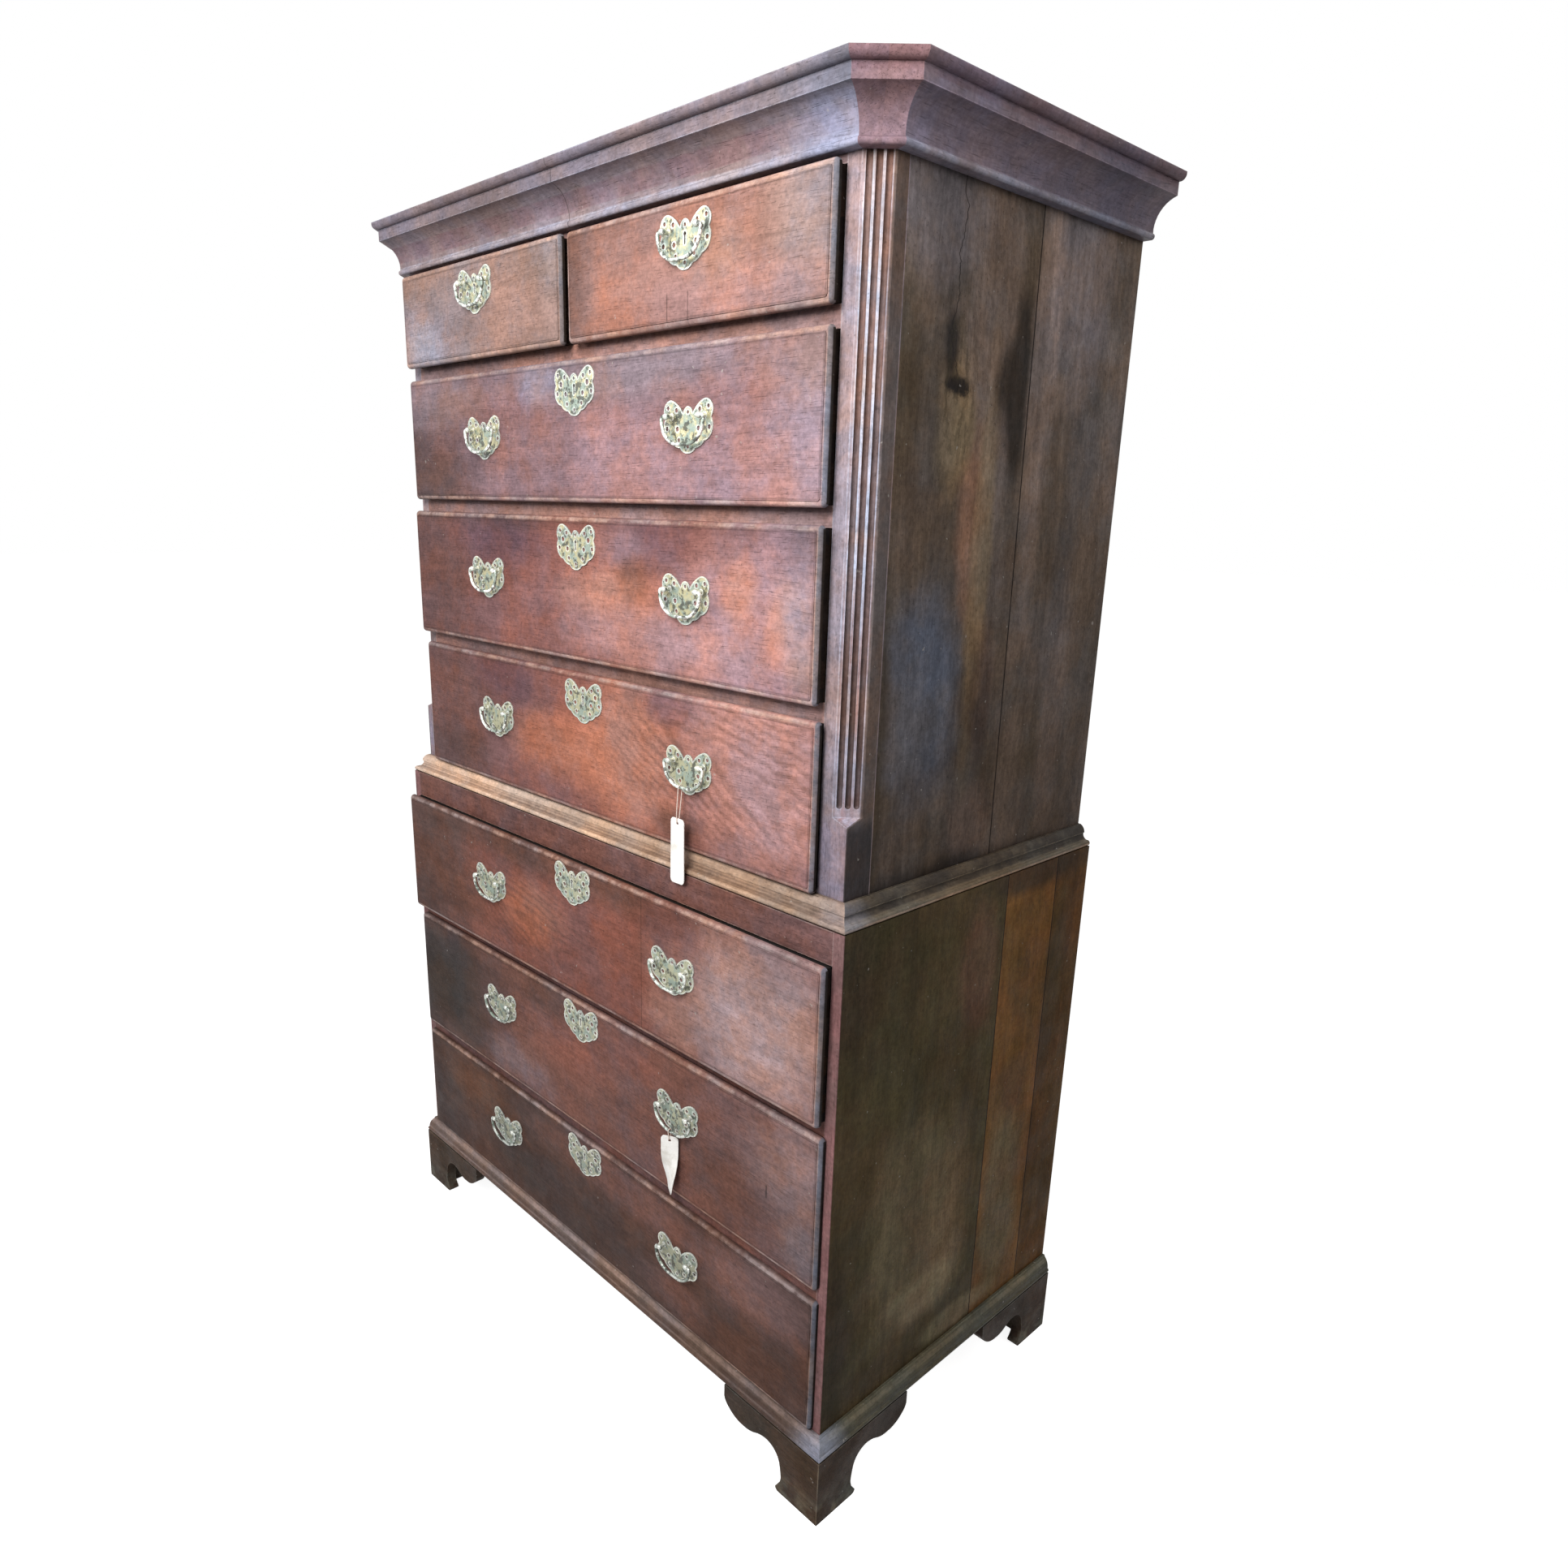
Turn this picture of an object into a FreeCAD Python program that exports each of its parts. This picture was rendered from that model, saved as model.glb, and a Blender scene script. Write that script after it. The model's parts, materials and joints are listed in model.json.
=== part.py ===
"""Oak chest on chest: a carcase of three long drawers that carries an upper carcase with
three long and two short drawers, canted fluted corner posts, a cove cornice, bracket feet
and pierced brass handles.

Millimetres. +X is to the right as seen from the front, +Y points to the back, +Z is up.
The model is laid out with y = 0 on the front face of the lower carcase and z = 0 on the
floor. Each shape is moved once, when it is saved, so that the origin lies on the floor
under the centre of the whole piece.
"""
import FreeCAD, Part
import math
import os

V = FreeCAD.Vector

# ---------------------------------------------------------------- carcases
lower_width = 1144.0
lower_depth = 600.0
upper_setback = 24.0          # the upper carcase stands in from the lower at front and sides
lower_side_thickness = 18.0
upper_side_thickness = 18.0
board_thickness = 18.0        # top and bottom boards of both carcases
back_thickness = 10.0
board_gap = 0.8               # shrinkage gap between neighbouring boards
back_board_count = 4
upper_side_joint = 345.0      # joint of the side boards, behind the lower carcase's front
lower_side_joints = (368.0, 506.0)

rail_depth = 60.0             # dividing rails, front to back
frieze_rail_thickness = 20.0
drawer_reveal = 20.0          # visible height of a rail between two drawer faces
face_gap = 1.0                # from a moulding to the drawer face above it
frieze_height = 44.0          # visible rail above the top drawer of the lower carcase
top_reveal = 7.0              # visible rail between the short drawers and the cornice
top_board_drop = 14.0         # the top board lies this much below the cornice's top
divider_width = 20.0
divider_offset = -16.0        # the divider of the short drawers stands left of the middle
runner_width = 34.0
runner_thickness = 20.0
guide_height = 16.0
stop_length = 34.0            # drawer stops, glued on the rails behind each drawer front
stop_depth = 12.0
stop_height = 5.5
stop_inset = 190.0            # from the side of the opening to the stop

# ---------------------------------------------------------------- corner posts
post_width = 48.0
post_depth = 48.0
cant = 27.0                   # the corner is cut off by this much on both faces
cant_stop_height = 131.0      # foot of the post to the tip of the stop
cant_stop_rise = 10.0
flute_count = 3
flute_radius = 3.9
flute_pitch = 11.0
flute_start = 15.0            # from the stop to the round end of the flutes

# ---------------------------------------------------------------- mouldings and feet
foot_height = 113.0
base_moulding_height = 32.0
base_projection = 15.5
base_bead_radius = 4.5
waist_moulding_height = 33.0
waist_bead_radius = 4.5
waist_cove_foot = 17.5        # projections and heights of the cove and the ovolo above it
waist_cove_head = 11.0
waist_cove_top = 20.0
waist_ovolo_foot = 12.5
waist_top_flat = 4.0
cornice_height = 79.0
cornice_projection = 54.0
cornice_bead_radius = 4.2
cornice_bead_projection = 17.0
cornice_cove_foot = 14.0      # projection where the cove starts
cornice_cove_head = 44.0      # projection where the cove ends
cornice_cove_top = 51.0       # height of the cove's top edge above the cornice's foot
cornice_cove_depth = 9.5      # how far the cove is hollowed
cornice_fascia_height = 17.0
cornice_top_fillet = 3.0
foot_length = 204.0
foot_thickness = 20.0
# Inner edge of a bracket from the sole up: (share of length, share of height, bulge in mm).
foot_outline = ((0.390, 0.00, 0.0), (0.422, 0.06, 2.0), (0.368, 0.27, -2.5), (0.390, 0.50, -0.5),
                (0.565, 0.69, -8.0), (0.640, 0.645, -0.7), (0.790, 0.58, 2.5),
                (0.955, 0.69, 3.5), (1.000, 0.81, 1.5))
rear_foot_sole = 80.0
rear_foot_board = 130.0
rear_foot_edge = 92.0
glue_block = 38.0
glue_block_lift = 3.0

# ---------------------------------------------------------------- drawers
lip_overlap = 5.0             # sides of the drawer face over the carcase
lip_overlap_upright = 3.0     # top and bottom of the drawer face over the rails
lip_thickness = 9.0
lip_round = 5.5               # ovolo on the edge of the drawer face
field_step = 1.2              # the flat field stands proud of the ovolo
field_margin = 7.5
face_corner = 7.0
core_thickness = 14.0
core_clearance = 1.5          # each side, between drawer and opening
running_gap = 0.3
box_side = 10.0
box_back = 10.0
box_bottom = 7.0
box_bottom_lift = 7.0
groove_depth = 4.0
box_back_drop = 8.0           # the back board is lower than the sides
lap = 3.0                     # wood left in front of the lapped dovetails
tail_spacing = 62.0
tail_taper = 2.6
drawer_rear_gap = 34.0        # behind the drawer box, in front of the back boards
drawer_travel = 400.0         # from shut to fully drawn

lower_face_heights = (223.0, 243.0, 232.0)        # bottom to top
upper_face_heights = (228.0, 217.0, 200.0)        # bottom to top
short_face_height = 147.0

# How far each drawer stands open at rest.
lower_pulls = (0.0, 2.0, 13.0)                    # bottom to top
upper_pulls = (8.0, 16.0, 13.0)                   # bottom to top
short_left_pull = 17.0
short_right_pull = 14.0

# ---------------------------------------------------------------- brasses
plate_thickness = 1.6
plate_width = 106.0
upper_plate_margin = 12.0     # from the top of a long drawer's face to its escutcheon
lower_plate_margin = 5.0
short_plate_margin = 16.0     # from the top of a short drawer's face to its plate
lock_offset = 4.0             # the locks stand right of the middle of the chest
handle_places = (-254.0, 260.0)                   # from the middle of the chest
short_handle_offset = 6.0     # the single handles stand right of their drawers' middles
upper_handle_rise = (9.0, 8.0, 2.0)               # above the face's middle, bottom to top
lower_handle_rise = (14.0, 25.0, 13.0)            # bottom to top
# Right half of a plate, from the tip up to the crest: (x, z, bulge) over half its width.
plate_outline = ((0.00, -0.70, 0.00), (0.30, -0.57, 0.04), (0.62, -0.41, 0.04),
                 (0.86, 0.13, 0.17), (0.58, 0.55, 0.19), (0.17, 0.23, 0.04),
                 (0.00, 0.40, 0.05))
# Round piercings of the right half, and on the middle line: (x, z, radius), same scale.
side_piercings = ((0.44, 0.32, 0.055), (0.76, 0.38, 0.050), (0.80, -0.10, 0.055),
                  (0.40, -0.12, 0.060), (0.34, -0.38, 0.050))
middle_piercings = ((0.00, 0.27, 0.045), (0.00, -0.54, 0.045))
escutcheon_piercings = ((0.62, 0.14, 0.070),)
post_spread = 33.0            # from the middle of a plate to each handle post
post_rise = 9.0
post_reach = 10.0             # from the plate to the bail's axis
post_neck_radius = 2.8
post_head_radius = 4.4
bolt_radius = 2.5
bolt_clearance = 0.2
nut_radius = 6.0
nut_thickness = 4.0
bail_rod_radius = 2.4
bail_bore_clearance = 0.1
bail_pin_end = 28.0           # each pin passes outwards through its post
bail_shoulder = 42.0
bail_cheek = 41.5
bail_cheek_drop = 9.0
bail_elbow = 36.0
bail_elbow_drop = 24.0
bail_foot = 18.0
bail_drop = 35.0
corner_share = 0.45           # part of the shorter run that a rounded corner takes
keyhole_radius = 2.6
keyhole_slot_width = 2.8
keyhole_slot_length = 12.0
keyhole_drop = 2.0
lock_width = 50.0
lock_height = 44.0
lock_thickness = 5.0

# ---------------------------------------------------------------- hang tags
tag_width = 29.0
tag_length = 99.0
tag_thickness = 1.0
tag_corner = 6.5
tag_hole_radius = 2.4
tag_hole_margin = 7.5
tag_offset = -5.0             # the tags hang left of the middle of the bail
tag_turn_share = 0.25         # the card starts to twist this far down
upper_tag_turn = (0.0, 2.0)   # degrees, top and foot of the card
lower_tag_turn = (30.0, -30.0)
string_radius = 0.7
string_gap = 0.7
string_strand = 2.8           # half the distance between the strands in the hole
upper_string_drop = 50.5      # from the bail's rod to the string's foot
lower_string_drop = 14.5
upper_string_lean = 5.0       # forward, so that the card clears the waist moulding
lower_string_lean = 0.0

# ---------------------------------------------------------------- levels
lower_bottom = foot_height + base_moulding_height + face_gap
frieze_top = (lower_bottom + sum(lower_face_heights)
              + drawer_reveal * (len(lower_face_heights) - 1) + frieze_height)
upper_bottom = frieze_top
upper_faces_bottom = upper_bottom + waist_moulding_height + face_gap
short_faces_bottom = (upper_faces_bottom + sum(upper_face_heights)
                      + drawer_reveal * len(upper_face_heights))
short_faces_top = short_faces_bottom + short_face_height
cornice_bottom = short_faces_top + top_reveal
total_height = cornice_bottom + cornice_height
upper_top = total_height - top_board_drop - board_thickness

plate_top = max(z for _, z, _ in plate_outline) * plate_width / 2
lower_half = lower_width / 2
upper_half = lower_half - upper_setback
upper_front = upper_setback
upper_opening_half = upper_half - post_width
lower_opening_half = lower_half - lower_side_thickness
upper_panel_inside = upper_half - upper_side_thickness
back_face = lower_depth
box_rear = back_face - back_thickness - drawer_rear_gap


def box(x0, x1, y0, y1, z0, z1):
    """A block between two corners."""
    return Part.makeBox(x1 - x0, y1 - y0, z1 - z0, V(x0, y0, z0))


def prism(outline, z0, z1):
    """An upright prism over a plan outline of (x, y) points."""
    loop = [V(x, y, z0) for x, y in outline]
    return Part.Face(Part.makePolygon(loop + loop[:1])).extrude(V(0, 0, z1 - z0))


def mirrored(shape):
    """The same shape on the other side of the middle plane."""
    return shape.mirror(V(0, 0, 0), V(1, 0, 0))


def bulge_point(start, end, bulge):
    """The middle of an arc that stands out to the right of the way from start to end."""
    dx, dz = end[0] - start[0], end[1] - start[1]
    reach = bulge / math.hypot(dx, dz)
    return (start[0] + end[0]) / 2 + dz * reach, (start[1] + end[1]) / 2 - dx * reach


def traced(start, steps, place):
    """A face round an outline. Each step is (x, z), or (x, z, bulge) for an arc."""
    edges = []
    last = start
    for step in steps:
        end = step[:2]
        if len(step) == 2 or step[2] == 0:
            edges.append(Part.LineSegment(place(*last), place(*end)).toShape())
        else:
            middle = bulge_point(last, end, step[2])
            edges.append(Part.Arc(place(*last), place(*middle), place(*end)).toShape())
        last = end
    return Part.Face(Part.Wire(edges))


def arc_radii(points, share):
    """At each inner point, the arc that takes this share of the shorter run beside it."""
    radii = []
    for before, corner, after in zip(points, points[1:], points[2:]):
        half = (before - corner).getAngle(after - corner) / 2
        run = min((before - corner).Length, (after - corner).Length)
        radii.append(share * run * math.tan(half))
    return radii


def rounded_path(points, radii):
    """Straight runs joined by tangent arcs."""
    edges = []
    last = points[0]
    for before, corner, after, radius in zip(points, points[1:], points[2:], radii):
        back = (before - corner).normalize()
        ahead = (after - corner).normalize()
        half = back.getAngle(ahead) / 2
        enter = corner + back * (radius / math.tan(half))
        leave = corner + ahead * (radius / math.tan(half))
        inward = (back + ahead).normalize()
        middle = corner + inward * (radius / math.sin(half) - radius)
        edges.append(Part.LineSegment(last, enter).toShape())
        edges.append(Part.Arc(enter, middle, leave).toShape())
        last = leave
    edges.append(Part.LineSegment(last, points[-1]).toShape())
    return Part.Wire(edges)


def tube(points, radius, radii):
    """A round rod along a rounded path."""
    path = rounded_path(points, radii)
    start = (points[1] - points[0]).normalize()
    ring = Part.Wire(Part.Circle(points[0], start, radius).toShape())
    return path.makePipeShell([ring], True, False)


# ---------------------------------------------------------------- mouldings
def outward(start, end):
    """The unit vector that points away from the carcase, for a path walked left, front, right."""
    along = V(end[0] - start[0], end[1] - start[1], 0).normalize()
    return along, V(along.y, -along.x, 0)


def mitre(before, after):
    """The direction in which two neighbouring lengths of moulding meet."""
    return (before + after) * (1 / (1 + before.dot(after)))


def mitred_lengths(path, start, steps, foot):
    """One solid per straight length of a moulding, with mitred corners."""
    normals = [outward(a, b)[1] for a, b in zip(path, path[1:])]
    reach = 4 * cornice_projection
    solids = []
    for index, (a, b) in enumerate(zip(path, path[1:])):
        along, normal = outward(a, b)
        first = mitre(normals[index - 1], normal) if index else normal
        last = mitre(normal, normals[index + 1]) if index + 1 < len(normals) else normal
        origin = V(a[0], a[1], 0) - along * reach
        face = traced(start, steps, lambda p, z: origin + normal * p + V(0, 0, foot + z))
        length = (V(b[0], b[1], 0) - V(a[0], a[1], 0)).Length
        bar = face.extrude(along * (length + 2 * reach))
        corners = [V(a[0], a[1], 0), V(a[0], a[1], 0) + first * reach,
                   V(b[0], b[1], 0) + last * reach, V(b[0], b[1], 0)]
        zone = prism([(c.x, c.y) for c in corners], 0, total_height * 2)
        solids.append(bar.common(zone))
    return solids


def base_moulding():
    """A bead under a rounded slope, planted round the foot of the lower carcase."""
    r = base_bead_radius
    bead = base_projection - r
    steps = [(bead, 0),
             (bead, 2 * r, r),
             (base_projection - r / 2, 2 * r),
             (r, base_moulding_height - r / 2, r / 2),
             (r, base_moulding_height),
             (0, base_moulding_height),
             (0, 0)]
    path = [(-lower_half, back_face), (-lower_half, 0), (lower_half, 0), (lower_half, back_face)]
    return mitred_lengths(path, (0, 0), steps, foot_height)


def waist_moulding():
    """The moulding on top of the lower carcase, round the foot of the upper one."""
    r = waist_bead_radius
    bead = upper_setback - r
    steps = [(bead, 0),
             (bead, 2 * r, r),
             (waist_cove_foot, 2 * r),
             (waist_cove_head, waist_cove_top, -r / 2),
             (waist_ovolo_foot, waist_cove_top),
             (waist_top_flat, waist_moulding_height, r / 2),
             (0, waist_moulding_height),
             (0, 0)]
    path = [(-upper_half, back_face), (-upper_half, upper_front),
            (upper_half, upper_front), (upper_half, back_face)]
    return mitred_lengths(path, (0, 0), steps, upper_bottom)


def crown_path():
    """Plan of the upper carcase above the posts' stops, from back left round to back right."""
    return [(-upper_half, back_face), (-upper_half, upper_front + cant),
            (-upper_half + cant, upper_front), (upper_half - cant, upper_front),
            (upper_half, upper_front + cant), (upper_half, back_face)]


def cornice():
    """Bead, cove, fascia and ovolo, mitred round the canted corners."""
    r = cornice_bead_radius
    fascia_top = cornice_cove_top + cornice_fascia_height
    fillet_foot = cornice_height - cornice_top_fillet
    bead = cornice_bead_projection - r
    steps = [(bead, 0),
             (bead, 2 * r, r),
             (cornice_cove_foot, 2 * r),
             (cornice_cove_head, cornice_cove_top, -cornice_cove_depth),
             (cornice_cove_head, fascia_top),
             (cornice_cove_head + r / 2, fascia_top),
             (cornice_projection, fillet_foot, r / 2),
             (cornice_projection, cornice_height),
             (0, cornice_height),
             (0, 0)]
    return mitred_lengths(crown_path(), (0, 0), steps, cornice_bottom)


# ---------------------------------------------------------------- feet
def foot_bracket(corner, along, inward, mitred):
    """One shaped bracket. along runs away from the corner, inward points under the carcase."""
    steps = [(x * foot_length, z * foot_height, bulge) for x, z, bulge in foot_outline]
    steps += [(foot_length, foot_height), (0, foot_height), (0, 0)]
    face = traced((0, 0), steps, lambda d, z: corner + along * d + V(0, 0, z))
    slab = face.extrude(inward * foot_thickness)
    if not mitred:
        return slab
    far = foot_length + foot_thickness
    plan = [corner, corner + along * far, corner + along * far + inward * foot_thickness,
            corner + along * foot_thickness + inward * foot_thickness]
    return slab.common(prism([(c.x, c.y) for c in plan], 0, foot_height))


def right_feet():
    """Both feet of the right-hand side, each with its brackets and glue block."""
    outer = lower_half + base_projection
    front = V(outer, -base_projection, 0)
    rear = V(outer, back_face, 0)
    left, back, ahead = V(-1, 0, 0), V(0, 1, 0), V(0, -1, 0)
    inside = outer - foot_thickness
    block_front = foot_thickness - base_projection
    board_front = back_face - foot_thickness
    steps = [(inside - rear_foot_sole, 0),
             (inside - rear_foot_board, rear_foot_edge),
             (inside - rear_foot_board, foot_height),
             (inside, foot_height),
             (inside, 0)]
    rear_board = traced((inside, 0), steps, lambda x, z: V(x, board_front, z))
    return [foot_bracket(front, left, back, True),
            foot_bracket(front, back, left, True),
            foot_bracket(rear, ahead, left, False),
            rear_board.extrude(V(0, foot_thickness, 0)),
            box(inside - glue_block, inside, block_front, block_front + glue_block,
                glue_block_lift, foot_height),
            box(inside - glue_block, inside, board_front - glue_block, board_front,
                glue_block_lift, foot_height)]


def bracket_feet():
    right = right_feet()
    return right + [mirrored(solid) for solid in right]


# ---------------------------------------------------------------- carcases
def side_boards(x0, x1, y_front, joints, z0, z1):
    """Upright boards of one carcase side, with a shrinkage gap at each joint."""
    edges = [y_front] + list(joints) + [back_face]
    boards = []
    for index, (y0, y1) in enumerate(zip(edges, edges[1:])):
        start = y0 + (board_gap if index else 0)
        boards.append(box(x0, x1, start, y1, z0, z1))
    return boards


def lower_side():
    return side_boards(lower_opening_half, lower_half, 0, lower_side_joints,
                       foot_height, frieze_top)


def upper_side():
    return side_boards(upper_panel_inside, upper_half, upper_front + post_depth,
                       (upper_side_joint,), upper_bottom, upper_top)


def corner_post():
    """The right corner post: canted above a stop, and fluted on the cant."""
    x1 = upper_half
    y0 = upper_front
    post = box(x1 - post_width, x1, y0, y0 + post_depth, upper_bottom, upper_top)
    stop = upper_bottom + cant_stop_height
    shoulder = stop + cant_stop_rise
    tip = V(x1, y0, stop)
    front_edge = V(x1 - cant, y0, shoulder)
    side_edge = V(x1, y0 + cant, shoulder)
    top = upper_top + cant
    lower_face = Part.Face(Part.makePolygon([tip, front_edge, side_edge, tip]))
    ramp = [tip, front_edge, side_edge]
    lid = [V(p.x, p.y, top) for p in ramp]
    walls = [Part.Face(Part.makePolygon([ramp[i], ramp[j], lid[j], lid[i], ramp[i]]))
             for i, j in ((0, 1), (1, 2), (2, 0))]
    lid_face = Part.Face(Part.makePolygon(lid + lid[:1]))
    corner = Part.makeSolid(Part.makeShell([lower_face, lid_face] + walls))
    post = post.cut(corner)
    middle = V(x1 - cant / 2, y0 + cant / 2, shoulder + flute_start)
    across = V(1, 1, 0).normalize()
    for index in range(flute_count):
        foot = middle + across * ((index - (flute_count - 1) / 2) * flute_pitch)
        shaft = Part.makeCylinder(flute_radius, upper_top, foot)
        post = post.cut(shaft).cut(Part.makeSphere(flute_radius, foot))
    return post


def level_board(half, y0, z0):
    """A board between the sides, from y0 to the back boards."""
    return box(-half, half, y0, back_face - back_thickness, z0, z0 + board_thickness)


def lower_boards():
    """Bottom board and top board of the lower carcase."""
    floor_top = lower_bottom + lip_overlap_upright
    return [level_board(lower_opening_half, 0, floor_top - board_thickness),
            level_board(lower_opening_half, frieze_rail_thickness, frieze_top - board_thickness)]


def upper_boards():
    """Bottom board, notched round the posts, and the top board that lies on the sides."""
    floor_top = upper_faces_bottom + lip_overlap_upright
    bottom = level_board(upper_panel_inside, upper_front + frieze_rail_thickness,
                         floor_top - board_thickness)
    notch = box(upper_opening_half, upper_half, 0, upper_front + post_depth, 0, total_height)
    bottom = bottom.cut(notch).cut(mirrored(notch))
    return [bottom, prism(crown_path(), upper_top, upper_top + board_thickness)]


def face_levels(bottom, heights):
    """(bottom, top) of each drawer face in a stack."""
    levels = []
    for height in heights:
        levels.append((bottom, bottom + height))
        bottom += height + drawer_reveal
    return levels


lower_levels = face_levels(lower_bottom, lower_face_heights)
upper_levels = face_levels(upper_faces_bottom, upper_face_heights)
short_level = (short_faces_bottom, short_faces_top)


def rail(half, y0, below, above):
    """A dividing rail behind the edges of the drawer faces below and above it."""
    return box(-half, half, y0, y0 + rail_depth,
               below - lip_overlap_upright, above + lip_overlap_upright)


def lower_rails():
    """Plinth rail behind the base moulding, dividing rails and the wide top rail."""
    half = lower_opening_half
    floor = lower_bottom + lip_overlap_upright - board_thickness
    rails = [box(-half, half, 0, frieze_rail_thickness, foot_height, floor)]
    rails += [rail(half, 0, low[1], high[0]) for low, high in zip(lower_levels, lower_levels[1:])]
    rails.append(box(-half, half, 0, frieze_rail_thickness,
                     lower_levels[-1][1] - lip_overlap_upright, frieze_top))
    return rails


def upper_rails():
    """Bottom rail, dividing rails, top rail and the upright between the short drawers."""
    half = upper_opening_half
    stack = upper_levels + [short_level]
    rails = [box(-half, half, upper_front, upper_front + frieze_rail_thickness,
                 upper_bottom, upper_levels[0][0] + lip_overlap_upright)]
    rails += [rail(half, upper_front, low[1], high[0]) for low, high in zip(stack, stack[1:])]
    opening_top = short_faces_top - lip_overlap_upright
    rails.append(box(-half, half, upper_front, upper_front + frieze_rail_thickness,
                     opening_top, upper_top))
    rails.append(box(divider_offset - divider_width / 2, divider_offset + divider_width / 2,
                     upper_front, upper_front + rail_depth,
                     short_faces_bottom + lip_overlap_upright, opening_top))
    return rails


def stops(x0, x1, y0, top):
    """Two small blocks that stop a drawer front just behind the opening."""
    behind = y0 + core_thickness + running_gap
    inset = min(stop_inset, (x1 - x0) / 3)
    return [box(x - stop_length / 2, x + stop_length / 2, behind, behind + stop_depth,
                top, top + stop_height) for x in (x0 + inset, x1 - inset)]


def runner_pair(half_inside, y0, top):
    """Left and right strips that a drawer slides on."""
    right = box(half_inside - runner_width, half_inside, y0, back_face - back_thickness,
                top - runner_thickness, top)
    return [right, mirrored(right)]


def lower_runners():
    solids = []
    for index, (bottom, _) in enumerate(lower_levels):
        top = bottom + lip_overlap_upright
        if index:
            solids += runner_pair(lower_opening_half, rail_depth, top)
        solids += stops(-lower_opening_half, lower_opening_half, 0, top)
    return solids


def upper_runners():
    """Runners, the guides beside the drawers, and the stops."""
    solids = []
    behind_rail = upper_front + max(rail_depth, post_depth)
    rear = back_face - back_thickness
    wide = upper_opening_half
    for index, (bottom, _) in enumerate(upper_levels + [short_level]):
        top = bottom + lip_overlap_upright
        if index:
            strip = box(wide - runner_width, upper_panel_inside, behind_rail, rear,
                        top - runner_thickness, top)
            solids += [strip, mirrored(strip)]
        guide = box(wide, upper_panel_inside, behind_rail, rear, top, top + guide_height)
        solids += [guide, mirrored(guide)]
        if index < len(upper_levels):
            solids += stops(-wide, wide, upper_front, top)
    short_top = short_faces_bottom + lip_overlap_upright
    middle = divider_offset
    solids.append(box(middle - divider_width / 2 - runner_width,
                      middle + divider_width / 2 + runner_width,
                      behind_rail, rear, short_top - runner_thickness, short_top))
    solids.append(box(middle - divider_width / 2, middle + divider_width / 2,
                      behind_rail, rear, short_top, short_top + guide_height))
    solids += stops(-wide, middle - divider_width / 2, upper_front, short_top)
    solids += stops(middle + divider_width / 2, wide, upper_front, short_top)
    return solids


def back_boards(half, z0, z1):
    """Upright boards let in between the sides at the back."""
    pitch = 2 * half / back_board_count
    boards = []
    for index in range(back_board_count):
        x0 = -half + index * pitch + (board_gap if index else 0)
        boards.append(box(x0, -half + (index + 1) * pitch,
                          back_face - back_thickness, back_face, z0, z1))
    return boards


# ---------------------------------------------------------------- drawers
class Drawer:
    """One drawer: the opening it fills, its face, its pull at rest and its brasses."""

    def __init__(self, name, x0, x1, level, front, pull, rise, margin, handles):
        self.name = name
        self.x0, self.x1 = x0, x1                          # opening
        self.face_z0, self.face_z1 = level                 # visible face
        self.z0 = level[0] + lip_overlap_upright           # opening
        self.z1 = level[1] - lip_overlap_upright
        self.front = front                                 # front plane of its carcase
        self.pull = pull
        self.handles = handles                             # x of each handle
        self.single = len(handles) == 1
        self.lock_z = level[1] - margin - plate_top
        if self.single:
            self.handle_z = self.lock_z
            self.lock_x = handles[0]
        else:
            self.handle_z = (level[0] + level[1]) / 2 + rise
            self.lock_x = lock_offset
        self.face_y = front - lip_thickness - pull
        self.core_back = front + core_thickness - pull
        self.box_back = box_rear - pull
        self.body_x0 = x0 + core_clearance
        self.body_x1 = x1 - core_clearance
        self.body_z0 = self.z0 + running_gap
        self.body_z1 = self.z1 - core_clearance

    def pivot_y(self):
        """The bail's axis, in front of the plate."""
        return self.face_y - plate_thickness - post_reach


def plate_face(place):
    """The outline of a plate as a face. place maps (x, z) on the plate to space."""
    half = plate_width / 2
    points = [(x * half, z * half, bulge * half) for x, z, bulge in plate_outline]
    steps = points[1:]
    for (x, z, _), (_, _, bulge) in zip(points[-2::-1], points[:0:-1]):
        steps.append((-x, z, bulge))
    return traced(points[0][:2], steps, place)


def keyhole(x, y, z, depth):
    """A keyhole cutter: a round eye over a slot, running back from y."""
    top = z + keyhole_slot_length / 2 - keyhole_drop
    eye = Part.makeCylinder(keyhole_radius, depth, V(x, y, top), V(0, 1, 0))
    slot = box(x - keyhole_slot_width / 2, x + keyhole_slot_width / 2, y, y + depth,
               top - keyhole_slot_length, top)
    return eye.fuse(slot)


def plate(drawer, x, z, with_posts, with_keyhole):
    """A pierced plate that lies on the drawer face."""
    y = drawer.face_y - plate_thickness

    def place(px, pz):
        return V(x + px, y, z + pz)

    solid = plate_face(place).extrude(V(0, plate_thickness, 0))
    half = plate_width / 2
    paired = side_piercings if with_posts else side_piercings + escutcheon_piercings
    holes = [(sign * px, pz, r) for px, pz, r in paired for sign in (-1, 1)]
    holes += middle_piercings
    cutters = [Part.makeCylinder(r * half, plate_thickness, place(px * half, pz * half),
                                 V(0, 1, 0)) for px, pz, r in holes]
    if with_posts:
        cutters += [Part.makeCylinder(bolt_radius + bolt_clearance, plate_thickness,
                                      place(sign * post_spread, post_rise), V(0, 1, 0))
                    for sign in (-1, 1)]
    if with_keyhole:
        cutters.append(keyhole(x, y, z, plate_thickness))
    return solid.cut(Part.makeCompound(cutters))


def bolt_places(drawer):
    """(x, z) of each handle post of a drawer."""
    return [(x + sign * post_spread, drawer.handle_z + post_rise)
            for x in drawer.handles for sign in (-1, 1)]


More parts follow.
